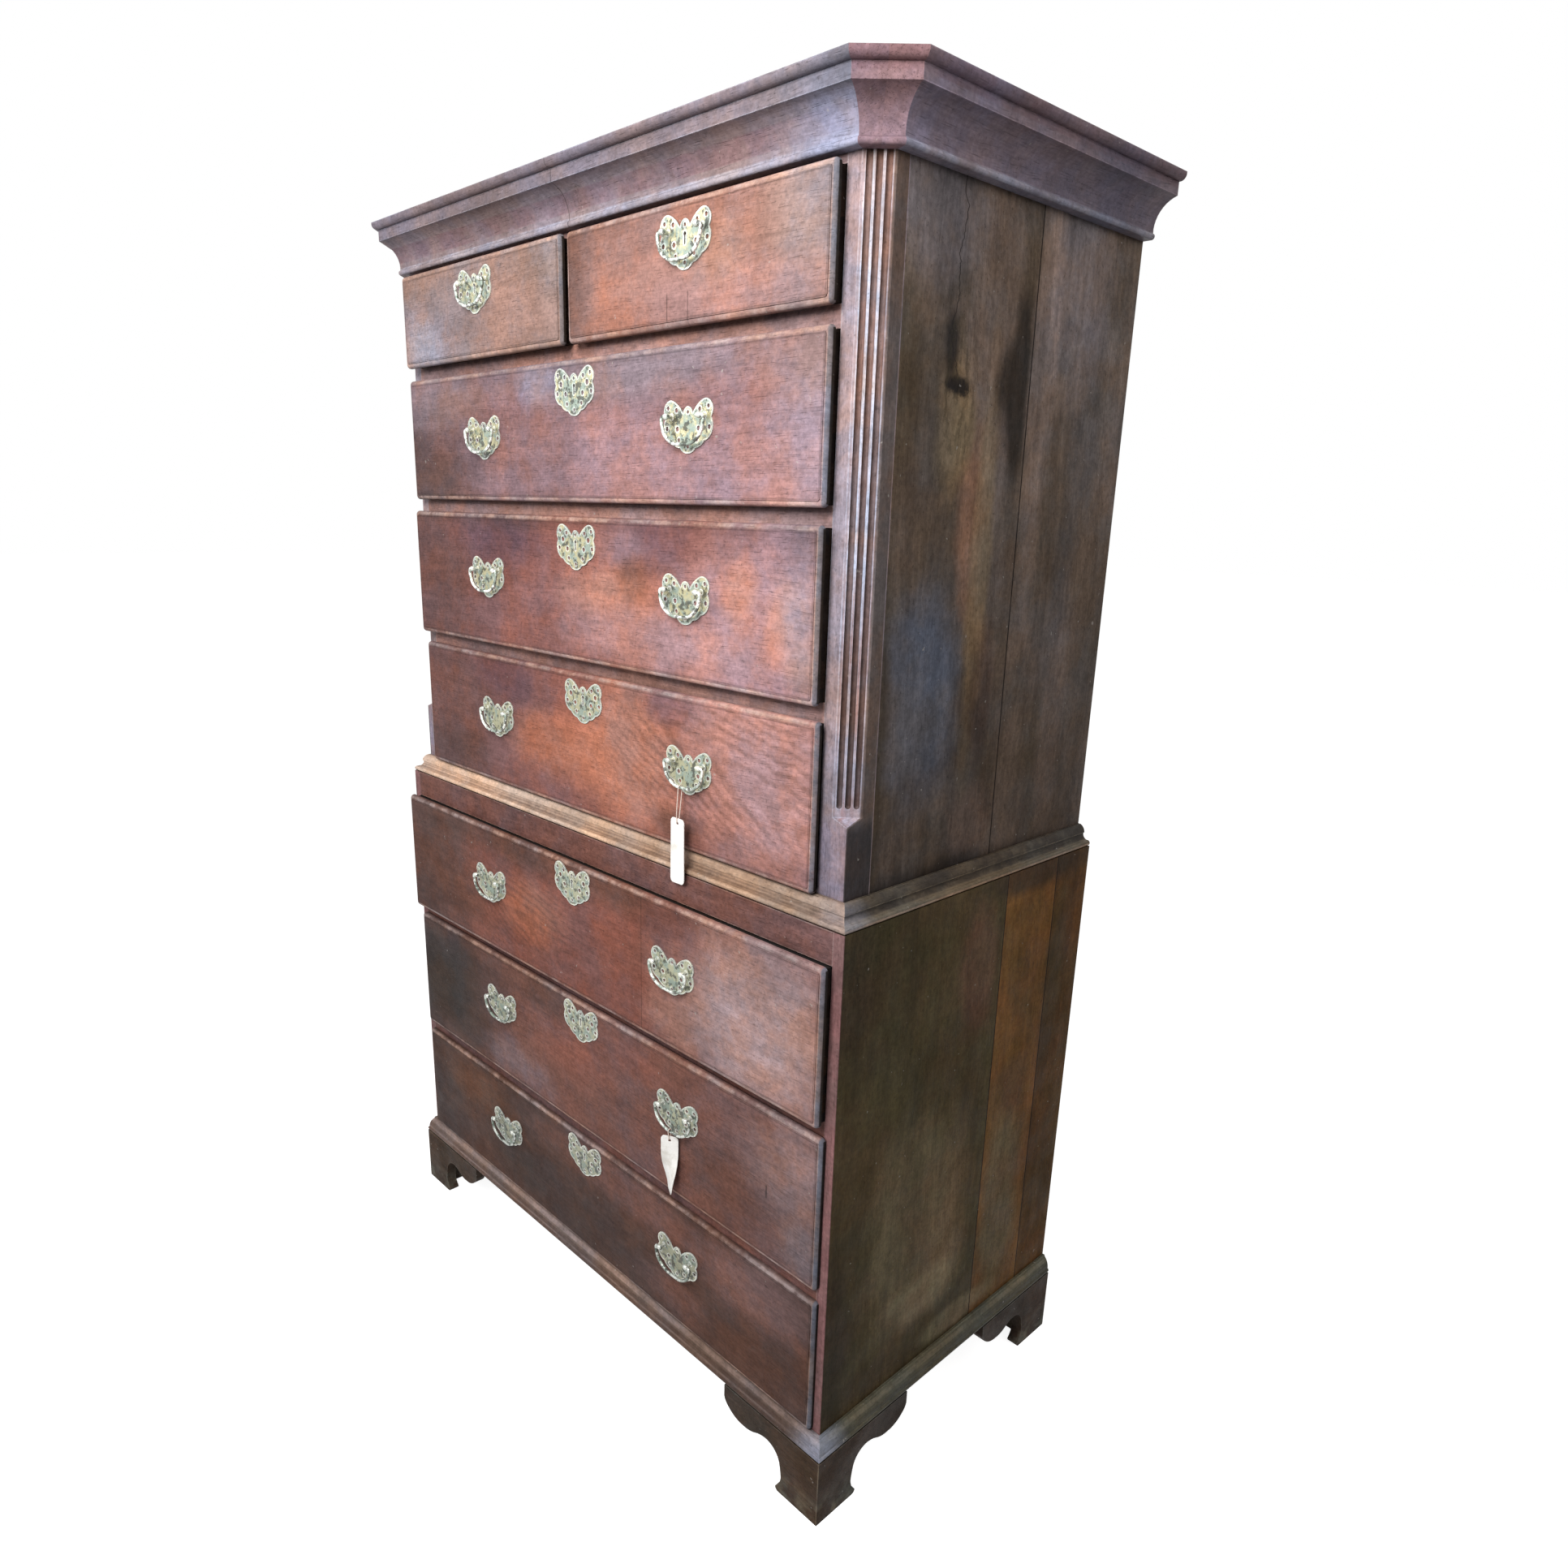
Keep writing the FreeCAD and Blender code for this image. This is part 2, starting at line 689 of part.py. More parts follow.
def handle_post(drawer, x, z):
    """A bolt through the front: bored ball head, neck, shank and nut inside."""
    pivot = V(x, drawer.pivot_y(), z)
    plate_front = drawer.face_y - plate_thickness
    back = V(0, 1, 0)
    head = Part.makeSphere(post_head_radius, pivot)
    neck = Part.makeCylinder(post_neck_radius, plate_front - pivot.y, pivot, back)
    shank = Part.makeCylinder(bolt_radius, drawer.core_back - plate_front + nut_thickness,
                              V(x, plate_front, z), back)
    nut = Part.makeCylinder(nut_radius, nut_thickness, V(x, drawer.core_back, z), back)
    bore_length = 2 * post_head_radius
    bore = Part.makeCylinder(bail_rod_radius + bail_bore_clearance, bore_length,
                             pivot - V(post_head_radius, 0, 0), V(1, 0, 0))
    return head.multiFuse([neck, shank, nut]).cut(bore)


def lock_case(drawer):
    """The lock on the inside of the front, behind the keyhole."""
    x = drawer.lock_x
    top = min(drawer.lock_z + lock_height / 2, drawer.body_z1)
    return box(x - lock_width / 2, x + lock_width / 2, drawer.core_back,
               drawer.core_back + lock_thickness, top - lock_height, top)


def brasses(drawer):
    """Plates, escutcheon, handle posts and lock of one drawer."""
    solids = [plate(drawer, x, drawer.handle_z, True, drawer.single) for x in drawer.handles]
    if not drawer.single:
        solids.append(plate(drawer, drawer.lock_x, drawer.lock_z, False, True))
    solids += [handle_post(drawer, x, z) for x, z in bolt_places(drawer)]
    solids.append(lock_case(drawer))
    return solids


def tails(drawer, x0):
    """The dovetails at the front end of one drawer side."""
    height = drawer.body_z1 - drawer.body_z0
    count = max(2, round(height / tail_spacing))
    pitch = height / count
    back = drawer.core_back
    tip = back - core_thickness + lap
    solids = []
    for index in range(count):
        middle = drawer.body_z0 + (index + 0.5) * pitch
        narrow = pitch / 4 - tail_taper / 2
        wide = narrow + tail_taper
        points = [V(x0, back, middle - narrow), V(x0, back, middle + narrow),
                  V(x0, tip, middle + wide), V(x0, tip, middle - wide)]
        face = Part.Face(Part.makePolygon(points + points[:1]))
        solids.append(face.extrude(V(box_side, 0, 0)))
    return solids


def side_places(drawer):
    """x of the outer-left corner of the left and right sides of a drawer box."""
    return (drawer.body_x0, drawer.body_x1 - box_side)


def bottom_board(drawer):
    z0 = drawer.body_z0 + box_bottom_lift
    inside0 = drawer.body_x0 + box_side
    inside1 = drawer.body_x1 - box_side
    return box(inside0 - groove_depth, inside1 + groove_depth, drawer.core_back,
               drawer.box_back, z0, z0 + box_bottom)


def drawer_box(drawer):
    """Two dovetailed sides, the back and the bottom in its grooves."""
    bottom = bottom_board(drawer)
    solids = []
    for x0 in side_places(drawer):
        side = box(x0, x0 + box_side, drawer.core_back, drawer.box_back,
                   drawer.body_z0, drawer.body_z1)
        solids.append(side.multiFuse(tails(drawer, x0)).removeSplitter().cut(bottom))
    solids.append(box(drawer.body_x0 + box_side, drawer.body_x1 - box_side,
                      drawer.box_back - box_back, drawer.box_back,
                      drawer.body_z0 + box_bottom_lift + box_bottom,
                      drawer.body_z1 - box_back_drop))
    solids.append(bottom)
    return solids


def rounded_slab(x0, x1, y0, y1, z0, z1, corner):
    """A slab whose four upright-plane corners are rounded."""
    slab = box(x0, x1, y0, y1, z0, z1)
    edges = [edge for edge in slab.Edges
             if abs(edge.Vertexes[0].Y - edge.Vertexes[1].Y) > (y1 - y0) / 2]
    return slab.makeFillet(corner, edges)


def drawer_front(drawer):
    """Moulded lipped face, core, dovetail sockets, bolt holes and keyhole."""
    x0 = drawer.x0 - lip_overlap
    x1 = drawer.x1 + lip_overlap
    z0 = drawer.face_z0
    z1 = drawer.face_z1
    y0 = drawer.face_y
    y1 = y0 + lip_thickness
    lip = rounded_slab(x0, x1, y0 + field_step, y1, z0, z1, face_corner)
    front_edges = [edge for edge in lip.Edges
                   if all(abs(v.Y - y0 - field_step) < 1e-6 for v in edge.Vertexes)]
    lip = lip.makeFillet(lip_round, front_edges)
    field = rounded_slab(x0 + field_margin, x1 - field_margin, y0, y1,
                         z0 + field_margin, z1 - field_margin, face_corner / 2)
    core = box(drawer.body_x0, drawer.body_x1, y1, drawer.core_back,
               drawer.body_z0, drawer.body_z1)
    front = lip.multiFuse([field, core]).removeSplitter()
    depth = drawer.core_back - y0
    cutters = [tail for x in side_places(drawer) for tail in tails(drawer, x)]
    cutters += [Part.makeCylinder(bolt_radius + bolt_clearance, depth, V(x, y0, z), V(0, 1, 0))
                for x, z in bolt_places(drawer)]
    cutters.append(keyhole(drawer.lock_x, y0, drawer.lock_z, depth))
    return front.cut(Part.makeCompound(cutters))


def bail_route(x, y, z):
    """Pin, shoulder, cheek, elbow and foot of a bail, from the left pin to the right one."""
    right = [(bail_pin_end, 0), (bail_shoulder, 0), (bail_cheek, -bail_cheek_drop),
             (bail_elbow, -bail_elbow_drop), (bail_foot, -bail_drop)]
    left = [(-px, pz) for px, pz in right]
    return [V(x + px, y, z + pz) for px, pz in left + right[::-1]]


def bail(drawer, x):
    """The loop handle that hangs between two posts."""
    route = bail_route(x, drawer.pivot_y(), drawer.handle_z + post_rise)
    return tube(route, bail_rod_radius, arc_radii(route, corner_share))


def all_drawers():
    """The short drawers, then the long ones of both stages from the top down."""
    divider0 = divider_offset - divider_width / 2
    divider1 = divider_offset + divider_width / 2
    wide = upper_opening_half
    left_handle = (divider0 - wide) / 2 + short_handle_offset
    right_handle = (divider1 + wide) / 2 + short_handle_offset
    drawers = [Drawer("short_drawer_left", -wide, divider0, short_level, upper_front,
                      short_left_pull, 0, short_plate_margin, (left_handle,)),
               Drawer("short_drawer_right", divider1, wide, short_level, upper_front,
                      short_right_pull, 0, short_plate_margin, (right_handle,))]
    stages = (("upper", wide, upper_levels, upper_front, upper_pulls,
               upper_handle_rise, upper_plate_margin),
              ("lower", lower_opening_half, lower_levels, 0, lower_pulls,
               lower_handle_rise, lower_plate_margin))
    for stage, half, levels, front, pulls, rises, margin in stages:
        rows = list(zip(levels, pulls, rises))[::-1]
        for number, (level, pull, rise) in enumerate(rows, 1):
            drawers.append(Drawer("%s_drawer_%d" % (stage, number), -half, half, level,
                                  front, pull, rise, margin, handle_places))
    return drawers


# ---------------------------------------------------------------- hang tags
def turned(x, y, degrees):
    """A plan vector turned about the vertical."""
    angle = math.radians(degrees)
    return V(x * math.cos(angle) - y * math.sin(angle),
             x * math.sin(angle) + y * math.cos(angle), 0)


def string_route(rod, drop, lean, turn):
    """From the tag's hole up behind the rod, over it, and down in front of it to the hole."""
    over = bail_rod_radius + string_gap + string_radius
    foot = rod - V(0, lean, drop)
    rear = [foot + turned(0, string_gap, turn),
            foot + turned(0, string_strand, turn),
            rod + V(0, over, over)]
    front = [rod + V(0, -over, over),
             foot + turned(0, -string_strand, turn),
             foot + turned(0, -string_gap, turn)]
    return rear + front


def string_radii():
    """The arcs at the hole and round the rod, from one end of the string to the other."""
    in_hole = 0.7 * string_strand
    round_rod = bail_rod_radius + string_radius
    return [in_hole, round_rod, round_rod, in_hole]


def tag_turn(share, turn):
    """How far the card has turned at this share of its length."""
    twist = max(0, share - tag_turn_share) / (1 - tag_turn_share)
    return turn[0] + (turn[1] - turn[0]) * twist * twist * (3 - 2 * twist)


def tag_half_width(depth):
    """Half the card's width at this depth from its top, with rounded corners."""
    from_end = min(depth, tag_length - depth)
    inside = max(0, tag_corner - from_end)
    return tag_width / 2 - tag_corner + math.sqrt(tag_corner ** 2 - inside ** 2)


def hang_tag(rod, drop, lean, turn):
    """A thin card that twists towards its foot, with a hole near its top."""
    hole = rod - V(0, lean, drop + tag_hole_radius - string_radius)
    top = hole + V(0, 0, tag_hole_margin)
    corner_steps = [tag_corner * step for step in (0.03, 0.12, 0.3, 0.6, 1.0)]
    body_steps = [tag_length * step / 8 for step in range(1, 8)]
    depths = corner_steps + [d for d in body_steps if tag_corner < d < tag_length - tag_corner]
    depths += [tag_length - d for d in corner_steps[::-1]]
    sections = []
    for depth in depths:
        half = tag_half_width(depth)
        angle = tag_turn(depth / tag_length, turn)
        thick = tag_thickness / 2
        ring = [top - V(0, 0, depth) + turned(px, py, angle)
                for px, py in ((-half, -thick), (half, -thick), (half, thick), (-half, thick))]
        sections.append(Part.makePolygon(ring + ring[:1]))
    card = Part.makeLoft(sections, True, True)
    axis = turned(0, 1, turn[0])
    return card.cut(Part.makeCylinder(tag_hole_radius, tag_width, hole - axis * (tag_width / 2),
                                      axis))


def tagged(drawer, drop, lean, turn):
    """The string and the card on the right-hand bail of a drawer."""
    rod = V(drawer.handles[-1] + tag_offset, drawer.pivot_y(),
            drawer.handle_z + post_rise - bail_drop)
    radii = string_radii()
    route = string_route(rod, drop, lean, turn[0])
    string = tube(route, string_radius, radii)
    length = rounded_path(route, radii).Length
    section = math.pi * string_radius ** 2
    print("string: length %.1f, radii %s, volume / (section x length) %.4f"
          % (length, [round(r, 2) for r in radii], string.Volume / (section * length)))
    return string, hang_tag(rod, drop, lean, turn)


# ---------------------------------------------------------------- assembly
def front_reach(drawers):
    """How far the foremost piece stands in front of the lower carcase's face."""
    bails = max(-drawer.pivot_y() + max(bail_rod_radius, post_head_radius)
                for drawer in drawers)
    return max(cornice_projection - upper_setback, base_projection, bails)


def assembly():
    """Every node's name with its list of solids."""
    drawers = all_drawers()
    nodes = {
        "lower_side_right": lower_side(),
        "lower_side_left": [mirrored(board) for board in lower_side()],
        "lower_carcase_boards": lower_boards(),
        "lower_front_rails": lower_rails(),
        "lower_drawer_runners": lower_runners(),
        "lower_back_boards": back_boards(lower_opening_half, foot_height, frieze_top),
        "upper_side_right": upper_side(),
        "upper_side_left": [mirrored(board) for board in upper_side()],
        "corner_post_right": [corner_post()],
        "corner_post_left": [mirrored(corner_post())],
        "upper_carcase_boards": upper_boards(),
        "upper_front_rails": upper_rails(),
        "upper_drawer_runners": upper_runners(),
        "upper_back_boards": back_boards(upper_panel_inside, upper_bottom, upper_top),
        "cornice_moulding": cornice(),
        "waist_moulding": waist_moulding(),
        "base_moulding": base_moulding(),
        "bracket_feet": bracket_feet(),
    }
    for drawer in drawers:
        nodes[drawer.name + "_front"] = [drawer_front(drawer)]
        nodes[drawer.name + "_box"] = drawer_box(drawer)
        nodes[drawer.name + "_brasses"] = brasses(drawer)
        if drawer.single:
            nodes[drawer.name + "_bail"] = [bail(drawer, drawer.handles[0])]
            continue
        for side, x in zip(("left", "right"), drawer.handles):
            nodes["%s_bail_%s" % (drawer.name, side)] = [bail(drawer, x)]
    by_name = {drawer.name: drawer for drawer in drawers}
    hangings = (("upper_drawer_3", upper_string_drop, upper_string_lean, upper_tag_turn),
                ("lower_drawer_2", lower_string_drop, lower_string_lean, lower_tag_turn))
    for place, drop, lean, turn in hangings:
        string, tag = tagged(by_name[place], drop, lean, turn)
        stage = place.split("_")[0]
        nodes[stage + "_tag_string"] = [string]
        nodes[stage + "_hang_tag"] = [tag]
    return nodes, drawers


def frame_shift(drawers):
    """Moves the middle of the whole piece, front to back, to y = 0."""
    return V(0, (front_reach(drawers) - back_face) / 2, 0)


def save(nodes, shift):
    os.makedirs("parts", exist_ok=True)
    for name, solids in nodes.items():
        shape = solids[0] if len(solids) == 1 else Part.makeCompound(solids)
        moved = shape.copy()
        moved.translate(shift)
        moved.exportStep("parts/%s.step" % name)


all_nodes, drawer_list = assembly()
save(all_nodes, frame_shift(drawer_list))
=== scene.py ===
import json
import math

import bpy
from mathutils import Matrix, Vector

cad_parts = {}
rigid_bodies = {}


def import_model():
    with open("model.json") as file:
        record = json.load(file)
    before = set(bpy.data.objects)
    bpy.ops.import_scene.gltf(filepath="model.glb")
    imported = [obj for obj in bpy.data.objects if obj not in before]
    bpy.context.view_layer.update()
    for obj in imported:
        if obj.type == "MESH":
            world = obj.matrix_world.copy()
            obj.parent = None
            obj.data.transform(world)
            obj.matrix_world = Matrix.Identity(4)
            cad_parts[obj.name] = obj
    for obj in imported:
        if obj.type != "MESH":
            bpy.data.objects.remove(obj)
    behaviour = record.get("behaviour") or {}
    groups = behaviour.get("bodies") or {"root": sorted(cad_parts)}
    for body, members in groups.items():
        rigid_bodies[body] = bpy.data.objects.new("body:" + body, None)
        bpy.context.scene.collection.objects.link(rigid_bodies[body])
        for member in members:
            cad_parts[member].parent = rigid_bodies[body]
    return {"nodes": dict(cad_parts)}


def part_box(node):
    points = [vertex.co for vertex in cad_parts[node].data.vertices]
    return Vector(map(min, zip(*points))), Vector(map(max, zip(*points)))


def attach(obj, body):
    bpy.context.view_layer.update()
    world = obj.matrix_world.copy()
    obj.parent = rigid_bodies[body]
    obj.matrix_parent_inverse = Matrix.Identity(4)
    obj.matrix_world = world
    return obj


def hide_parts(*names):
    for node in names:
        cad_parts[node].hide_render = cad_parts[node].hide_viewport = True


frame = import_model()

# The looks of the oak chest on chest. Metres, in the frame's axes: +X to the right seen from
# the front, +Y to the back, +Z up. Every wood, brass, card and string finish is made here.
# A node's texture coordinates are its own coordinates, so a finish stays on its piece.

for leftover in [o for o in bpy.data.objects if o.name in ("Cube", "Light", "Camera")]:
    bpy.data.objects.remove(leftover)

STILE_CANT = 0.027               # depth of the canted corner, across x and y together
STILE_FOOT = (0.120, 0.145)      # heights over a post's foot between which its foot's tone fades
CREVICE = 0.012                  # painted shade darkens the wood within this distance of another surface
BACK_BOARDS = 4                  # boards across each back
ARCH_TILT = 0.9                  # how far a board's arches slant down to the right
ARCH_DRAW = 0.4                  # how far the arches are drawn out along the board
ARCH_COUNT = 44.0                # how closely the arches are nested
MITRE_SLOPE = math.tan(math.radians(22.5))
UPPER_SEAM = 0.255               # joints between a side's boards, forward of its back edge
LOWER_SEAM = 0.232
LOWER_REAR_SEAM = 0.094
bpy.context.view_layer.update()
nodes = frame["nodes"]

# ---------------------------------------------------------------- camera
CAMERA_PLACE = (1.39886, -1.24754, 1.44390)
CAMERA_RIGHT = (0.6883, 0.7251, 0.0227)
CAMERA_DOWN = (0.2148, -0.1738, -0.9611)
CAMERA_AHEAD = (-0.6929, 0.6664, -0.2753)
CAMERA_LENS = 24.742
CAMERA_SENSOR = 36.0
CAMERA_SHIFT = (0.0221, 0.0214)

# ---------------------------------------------------------------- tones (linear colours)
RUSSET = (0.205, 0.084, 0.066)
ROSE = (0.245, 0.138, 0.136)
CLARET = (0.110, 0.052, 0.046)
TAUPE = (0.215, 0.150, 0.128)
CORAL = (0.235, 0.120, 0.098)
# blue-grey of painted highlights and painted sheen
EDGE_BLUE = (0.105, 0.110, 0.130)
DIM_BLUE = (0.110, 0.098, 0.120)
MAUVE = (0.190, 0.108, 0.122)
AMBER = (0.430, 0.170, 0.095)
PLUM = (0.150, 0.078, 0.092)
UMBER = (0.085, 0.045, 0.034)
DUSK = (0.050, 0.034, 0.030)
# a painted sheen
SHEEN_MAUVE = (0.300, 0.245, 0.270)
SLATE = (0.240, 0.185, 0.190)
# pale blue-grey of worn arrises, painted highlights and painted sheen
SILVER = (0.430, 0.430, 0.490)
HAZE = (0.310, 0.205, 0.190)
OLIVE = (0.052, 0.040, 0.022)
TEAK = (0.090, 0.036, 0.010)
TAN = (0.590, 0.395, 0.275)
WALNUT = (0.165, 0.125, 0.108)
TAWNY = (0.215, 0.090, 0.026)
PEAT = (0.040, 0.033, 0.020)
# near black: real joints, knots, splits and cuts, and painted shadow in the gaps round the drawers
NEAR_BLACK = (0.020, 0.016, 0.014)
CREAM = (0.760, 0.545, 0.395)
# pale of worn arrises and beads together with their painted highlight
WORN_HIGHLIGHT = (0.400, 0.290, 0.250)
BARE_OAK = (0.300, 0.190, 0.110)
BACK_OAK = (0.170, 0.105, 0.065)
WARM_TINT = (1.12, 0.96, 0.84)
COOL_TINT = (0.90, 1.00, 1.12)
DUST_SPECK = (0.36, 0.33, 0.30)
GOLDEN = (0.235, 0.160, 0.088)
FAWN = (0.215, 0.158, 0.130)
NIGHT = (0.046, 0.046, 0.050)
STEEL = (0.102, 0.112, 0.140)
LIVER = (0.082, 0.046, 0.034)
MOSS = (0.125, 0.096, 0.062)
ASH = (0.220, 0.185, 0.130)
OLIVE_TINT = (0.98, 1.00, 0.86)
GLOOM = (0.026, 0.020, 0.016)
ORCHID = (0.300, 0.185, 0.195)
BLUSH = (0.350, 0.195, 0.180)
EMBER = (0.430, 0.190, 0.130)
BERRY = (0.215, 0.098, 0.086)
MAROON = (0.160, 0.082, 0.070)
DUN = (0.200, 0.168, 0.172)
LILAC = (0.200, 0.160, 0.195)
RUST = (0.235, 0.135, 0.092)
SHEEN_BLUE = (0.260, 0.265, 0.340)
SIDE_TINTS = ((1.06, 0.97, 0.90), (0.93, 1.00, 1.12))
BERRY_ROSE = (0.242, 0.134, 0.111)
WINE = (0.110, 0.055, 0.062)
BRICK = (0.175, 0.095, 0.082)
CORNICE_FLANK = (0.225, 0.180, 0.215)
CORNICE_CANT = (0.235, 0.152, 0.165)
WAIST_FLANK = (0.120, 0.096, 0.066)
BASE_FRONT = (0.215, 0.150, 0.118)
BASE_FLANK = (0.085, 0.078, 0.052)
SCUFF = (0.130, 0.120, 0.090)
WORN_FOOT = (0.220, 0.200, 0.160)
CARD = (0.840, 0.820, 0.780)
OLD_CARD = (0.660, 0.630, 0.570)
THREAD = (0.800, 0.660, 0.580)
OLD_THREAD = (0.520, 0.420, 0.360)
FLOOR_GREY = (0.500, 0.500, 0.500)
OLD_BRASS = (0.450, 0.410, 0.240)
VERDIGRIS = (0.270, 0.325, 0.270)
TARNISH = (0.050, 0.050, 0.040)
PALE_BRASS = (0.960, 0.970, 0.910)


class Graph:
    """A material's node tree, with a short call for each kind of node."""

    def __init__(self, name, roughness=0.45, specular=0.25, metallic=0.0):
        self.material = bpy.data.materials.new(name)
        self.material.use_nodes = True
        self.tree = self.material.node_tree
        self.tree.nodes.clear()
        output = self.add("ShaderNodeOutputMaterial")
        self.shader = self.add("ShaderNodeBsdfPrincipled")
        self.shader.inputs["Roughness"].default_value = roughness
        self.shader.inputs["Specular IOR Level"].default_value = specular
        self.shader.inputs["Metallic"].default_value = metallic
        self.tree.links.new(self.shader.outputs["BSDF"], output.inputs["Surface"])
        self.place = self.add("ShaderNodeTexCoord").outputs["Object"]
        parts = self.add("ShaderNodeSeparateXYZ")
        self.set(parts.inputs[0], self.place)
        self.x, self.y, self.z = parts.outputs

    def add(self, kind, **settings):
        node = self.tree.nodes.new(kind)
        for name, value in settings.items():
            setattr(node, name, value)
        return node

    def set(self, socket, value):
        """Links a socket, or sets it to a number, a point or a colour."""
        if isinstance(value, bpy.types.NodeSocket):
            self.tree.links.new(value, socket)
        elif socket.type == "RGBA":
            socket.default_value = (*value, 1.0)
        else:
            socket.default_value = value

    def math(self, operation, a, b=0.0, clamp=False):
        node = self.add("ShaderNodeMath", operation=operation, use_clamp=clamp)
        self.set(node.inputs[0], a)
        self.set(node.inputs[1], b)
        return node.outputs[0]

    def vector(self, operation, a, b=(0.0, 0.0, 0.0)):
        node = self.add("ShaderNodeVectorMath", operation=operation)
        self.set(node.inputs[0], a)
        self.set(node.inputs[1], b)
        return node.outputs["Value" if operation == "LENGTH" else "Vector"]

    def product(self, *values):
        """Several numbers multiplied together."""
        result = values[0]
        for value in values[1:]:
            result = self.math("MULTIPLY", result, value)
        return result

    def sway(self, noise, reach):
        """A noise as an offset of up to half a reach to either side."""
        return self.product(self.math("SUBTRACT", noise, 0.5), reach)

    def scaled(self, colour, factor):
        node = self.add("ShaderNodeVectorMath", operation="SCALE")
        self.set(node.inputs[0], colour)
        self.set(node.inputs["Scale"], factor)
        return node.outputs["Vector"]

    def point(self, x, y, z):
        node = self.add("ShaderNodeCombineXYZ")
        for socket, value in zip(node.inputs, (x, y, z)):
            self.set(socket, value)
        return node.outputs[0]

    def span(self, value, low, high, out_low=0.0, out_high=1.0):
        """Maps low..high to out_low..out_high with soft ends."""
        node = self.add("ShaderNodeMapRange", interpolation_type="SMOOTHSTEP")
        for socket, number in zip(node.inputs, (value, low, high, out_low, out_high)):
            self.set(socket, number)
        return node.outputs[0]

    def band(self, value, low, high, soft):
        """1 between low and high, 0 outside, with soft edges."""
        rise = self.span(value, low - soft, low + soft)
        fall = self.span(value, high - soft, high + soft, 1.0, 0.0)
        return self.math("MULTIPLY", rise, fall)

    def mix(self, factor, a, b):
        """One colour over another. Sockets 6 and 7 are the mix node's colours, 2 its result."""
        node = self.add("ShaderNodeMix", data_type="RGBA")
        self.set(node.inputs[0], factor)
        self.set(node.inputs[6], a)
        self.set(node.inputs[7], b)
        return node.outputs[2]

    def noise(self, vector, scale, detail=3.0, roughness=0.55, distortion=0.0):
        """Cloudy noise, mostly 0.3 to 0.7."""
        node = self.add("ShaderNodeTexNoise")
        self.set(node.inputs["Vector"], vector)
        for name, value in (("Scale", scale), ("Detail", detail), ("Roughness", roughness),
                            ("Distortion", distortion)):
            self.set(node.inputs[name], value)
        return node.outputs["Fac"]

    def stretched(self, vector, scales, detail=3.0, roughness=0.55, distortion=0.0):
        """Noise with its own scale along each axis."""
        return self.noise(self.vector("MULTIPLY", vector, scales), 1.0, detail, roughness,
                          distortion)

    def arris_mask(self, radius, low, high):
        """1 along the arrises of a piece, 0 on its flats."""
        rounded = self.add("ShaderNodeBevel", samples=4)
        rounded.inputs["Radius"].default_value = radius
        flat = self.add("ShaderNodeNewGeometry")
        agree = self.add("ShaderNodeVectorMath", operation="DOT_PRODUCT")
        self.set(agree.inputs[0], rounded.outputs[0])
        self.set(agree.inputs[1], flat.outputs["Normal"])
        return self.span(agree.outputs["Value"], 1.0 - low, 1.0 - high)

    def crevice(self, distance):
        """Near 0 where another surface stands close by, 1 in the open."""
        node = self.add("ShaderNodeAmbientOcclusion", samples=6)
        node.inputs["Distance"].default_value = distance
        return node.outputs["AO"]

    def bump(self, height, distance, strength=1.0):
        """Fine relief in the finish, up to a distance in metres."""
        node = self.add("ShaderNodeBump")
        self.set(node.inputs["Height"], height)
        self.set(node.inputs["Distance"], distance)
        self.set(node.inputs["Strength"], strength)
        self.set(self.shader.inputs["Normal"], node.outputs[0])


# ---------------------------------------------------------------- wood
def board_space(g, along, seed):
    """Coordinates of a board: x along its grain, y across its face, z into it."""
    order = {"x": (g.x, g.z, g.y), "y": (g.y, g.z, g.x), "z": (g.z, g.y, g.x)}[along]
    return g.vector("ADD", g.point(*order), (seed * 1.37, seed * 0.61, seed * 0.29))


def stain(g, centre, radii, seed, softness=0.7):
    """A soft patch of uneven outline round a point. Radii are in metres along X, Y, Z."""
    inverse = tuple(1 / r if r else 0.0 for r in radii)
    away = g.vector("LENGTH", g.vector("MULTIPLY", g.vector("SUBTRACT", g.place, centre), inverse))
    uneven = g.noise(g.vector("ADD", g.place, (seed, 0.0, seed)), 9.0, 3.0)
    away = g.math("ADD", away, g.sway(uneven, 0.9))
    return g.span(away, 1.0 + softness / 2, 1.0 - softness, 0.0, 1.0)


def grain(g, space, figure, mottling, streaky):
    """Oak figure as (brightness factor, height), for a board space."""
    drift = g.stretched(space, (1.3, 8.0, 8.0), 2.0)
    warp = g.product(drift, 0.060 * figure)
    rows = g.vector("ADD", space, g.point(0.0, warp, 0.0))
    streaks = g.stretched(rows, (2.6, 60.0, 60.0), 5.0, 0.65)
    fibres = g.stretched(rows, (22.0, 420.0, 420.0), 3.0, 0.65)
    pores = g.span(g.stretched(rows, (44.0, 700.0, 700.0), 2.0, 0.5), 0.60, 0.74)
    specks = g.span(g.noise(space, 210.0, 3.0, 0.6), 0.60, 0.72)
    mottle = g.stretched(space, (26.0, 44.0, 44.0), 6.0, 0.75)
    cloudy = g.noise(space, 4.5, 5.0, 0.68)
    freckle = g.noise(space, 150.0, 4.0, 0.7)
    factor = g.span(streaks, 0.30, 0.72, 1.0 - streaky, 1.0 + streaky)
    for pattern, swing in ((fibres, 0.07), (mottle, mottling), (cloudy, 0.13), (freckle, 0.14)):
        factor = g.product(factor, g.span(pattern, 0.34, 0.66, 1.0 - swing, 1.0 + swing))
    for pattern, depth in ((pores, 0.16), (specks, 0.34)):
        factor = g.product(factor, g.math("SUBTRACT", 1.0, g.product(pattern, depth)))
    height = g.math("SUBTRACT", g.product(fibres, 0.6), pores)
    return factor, height


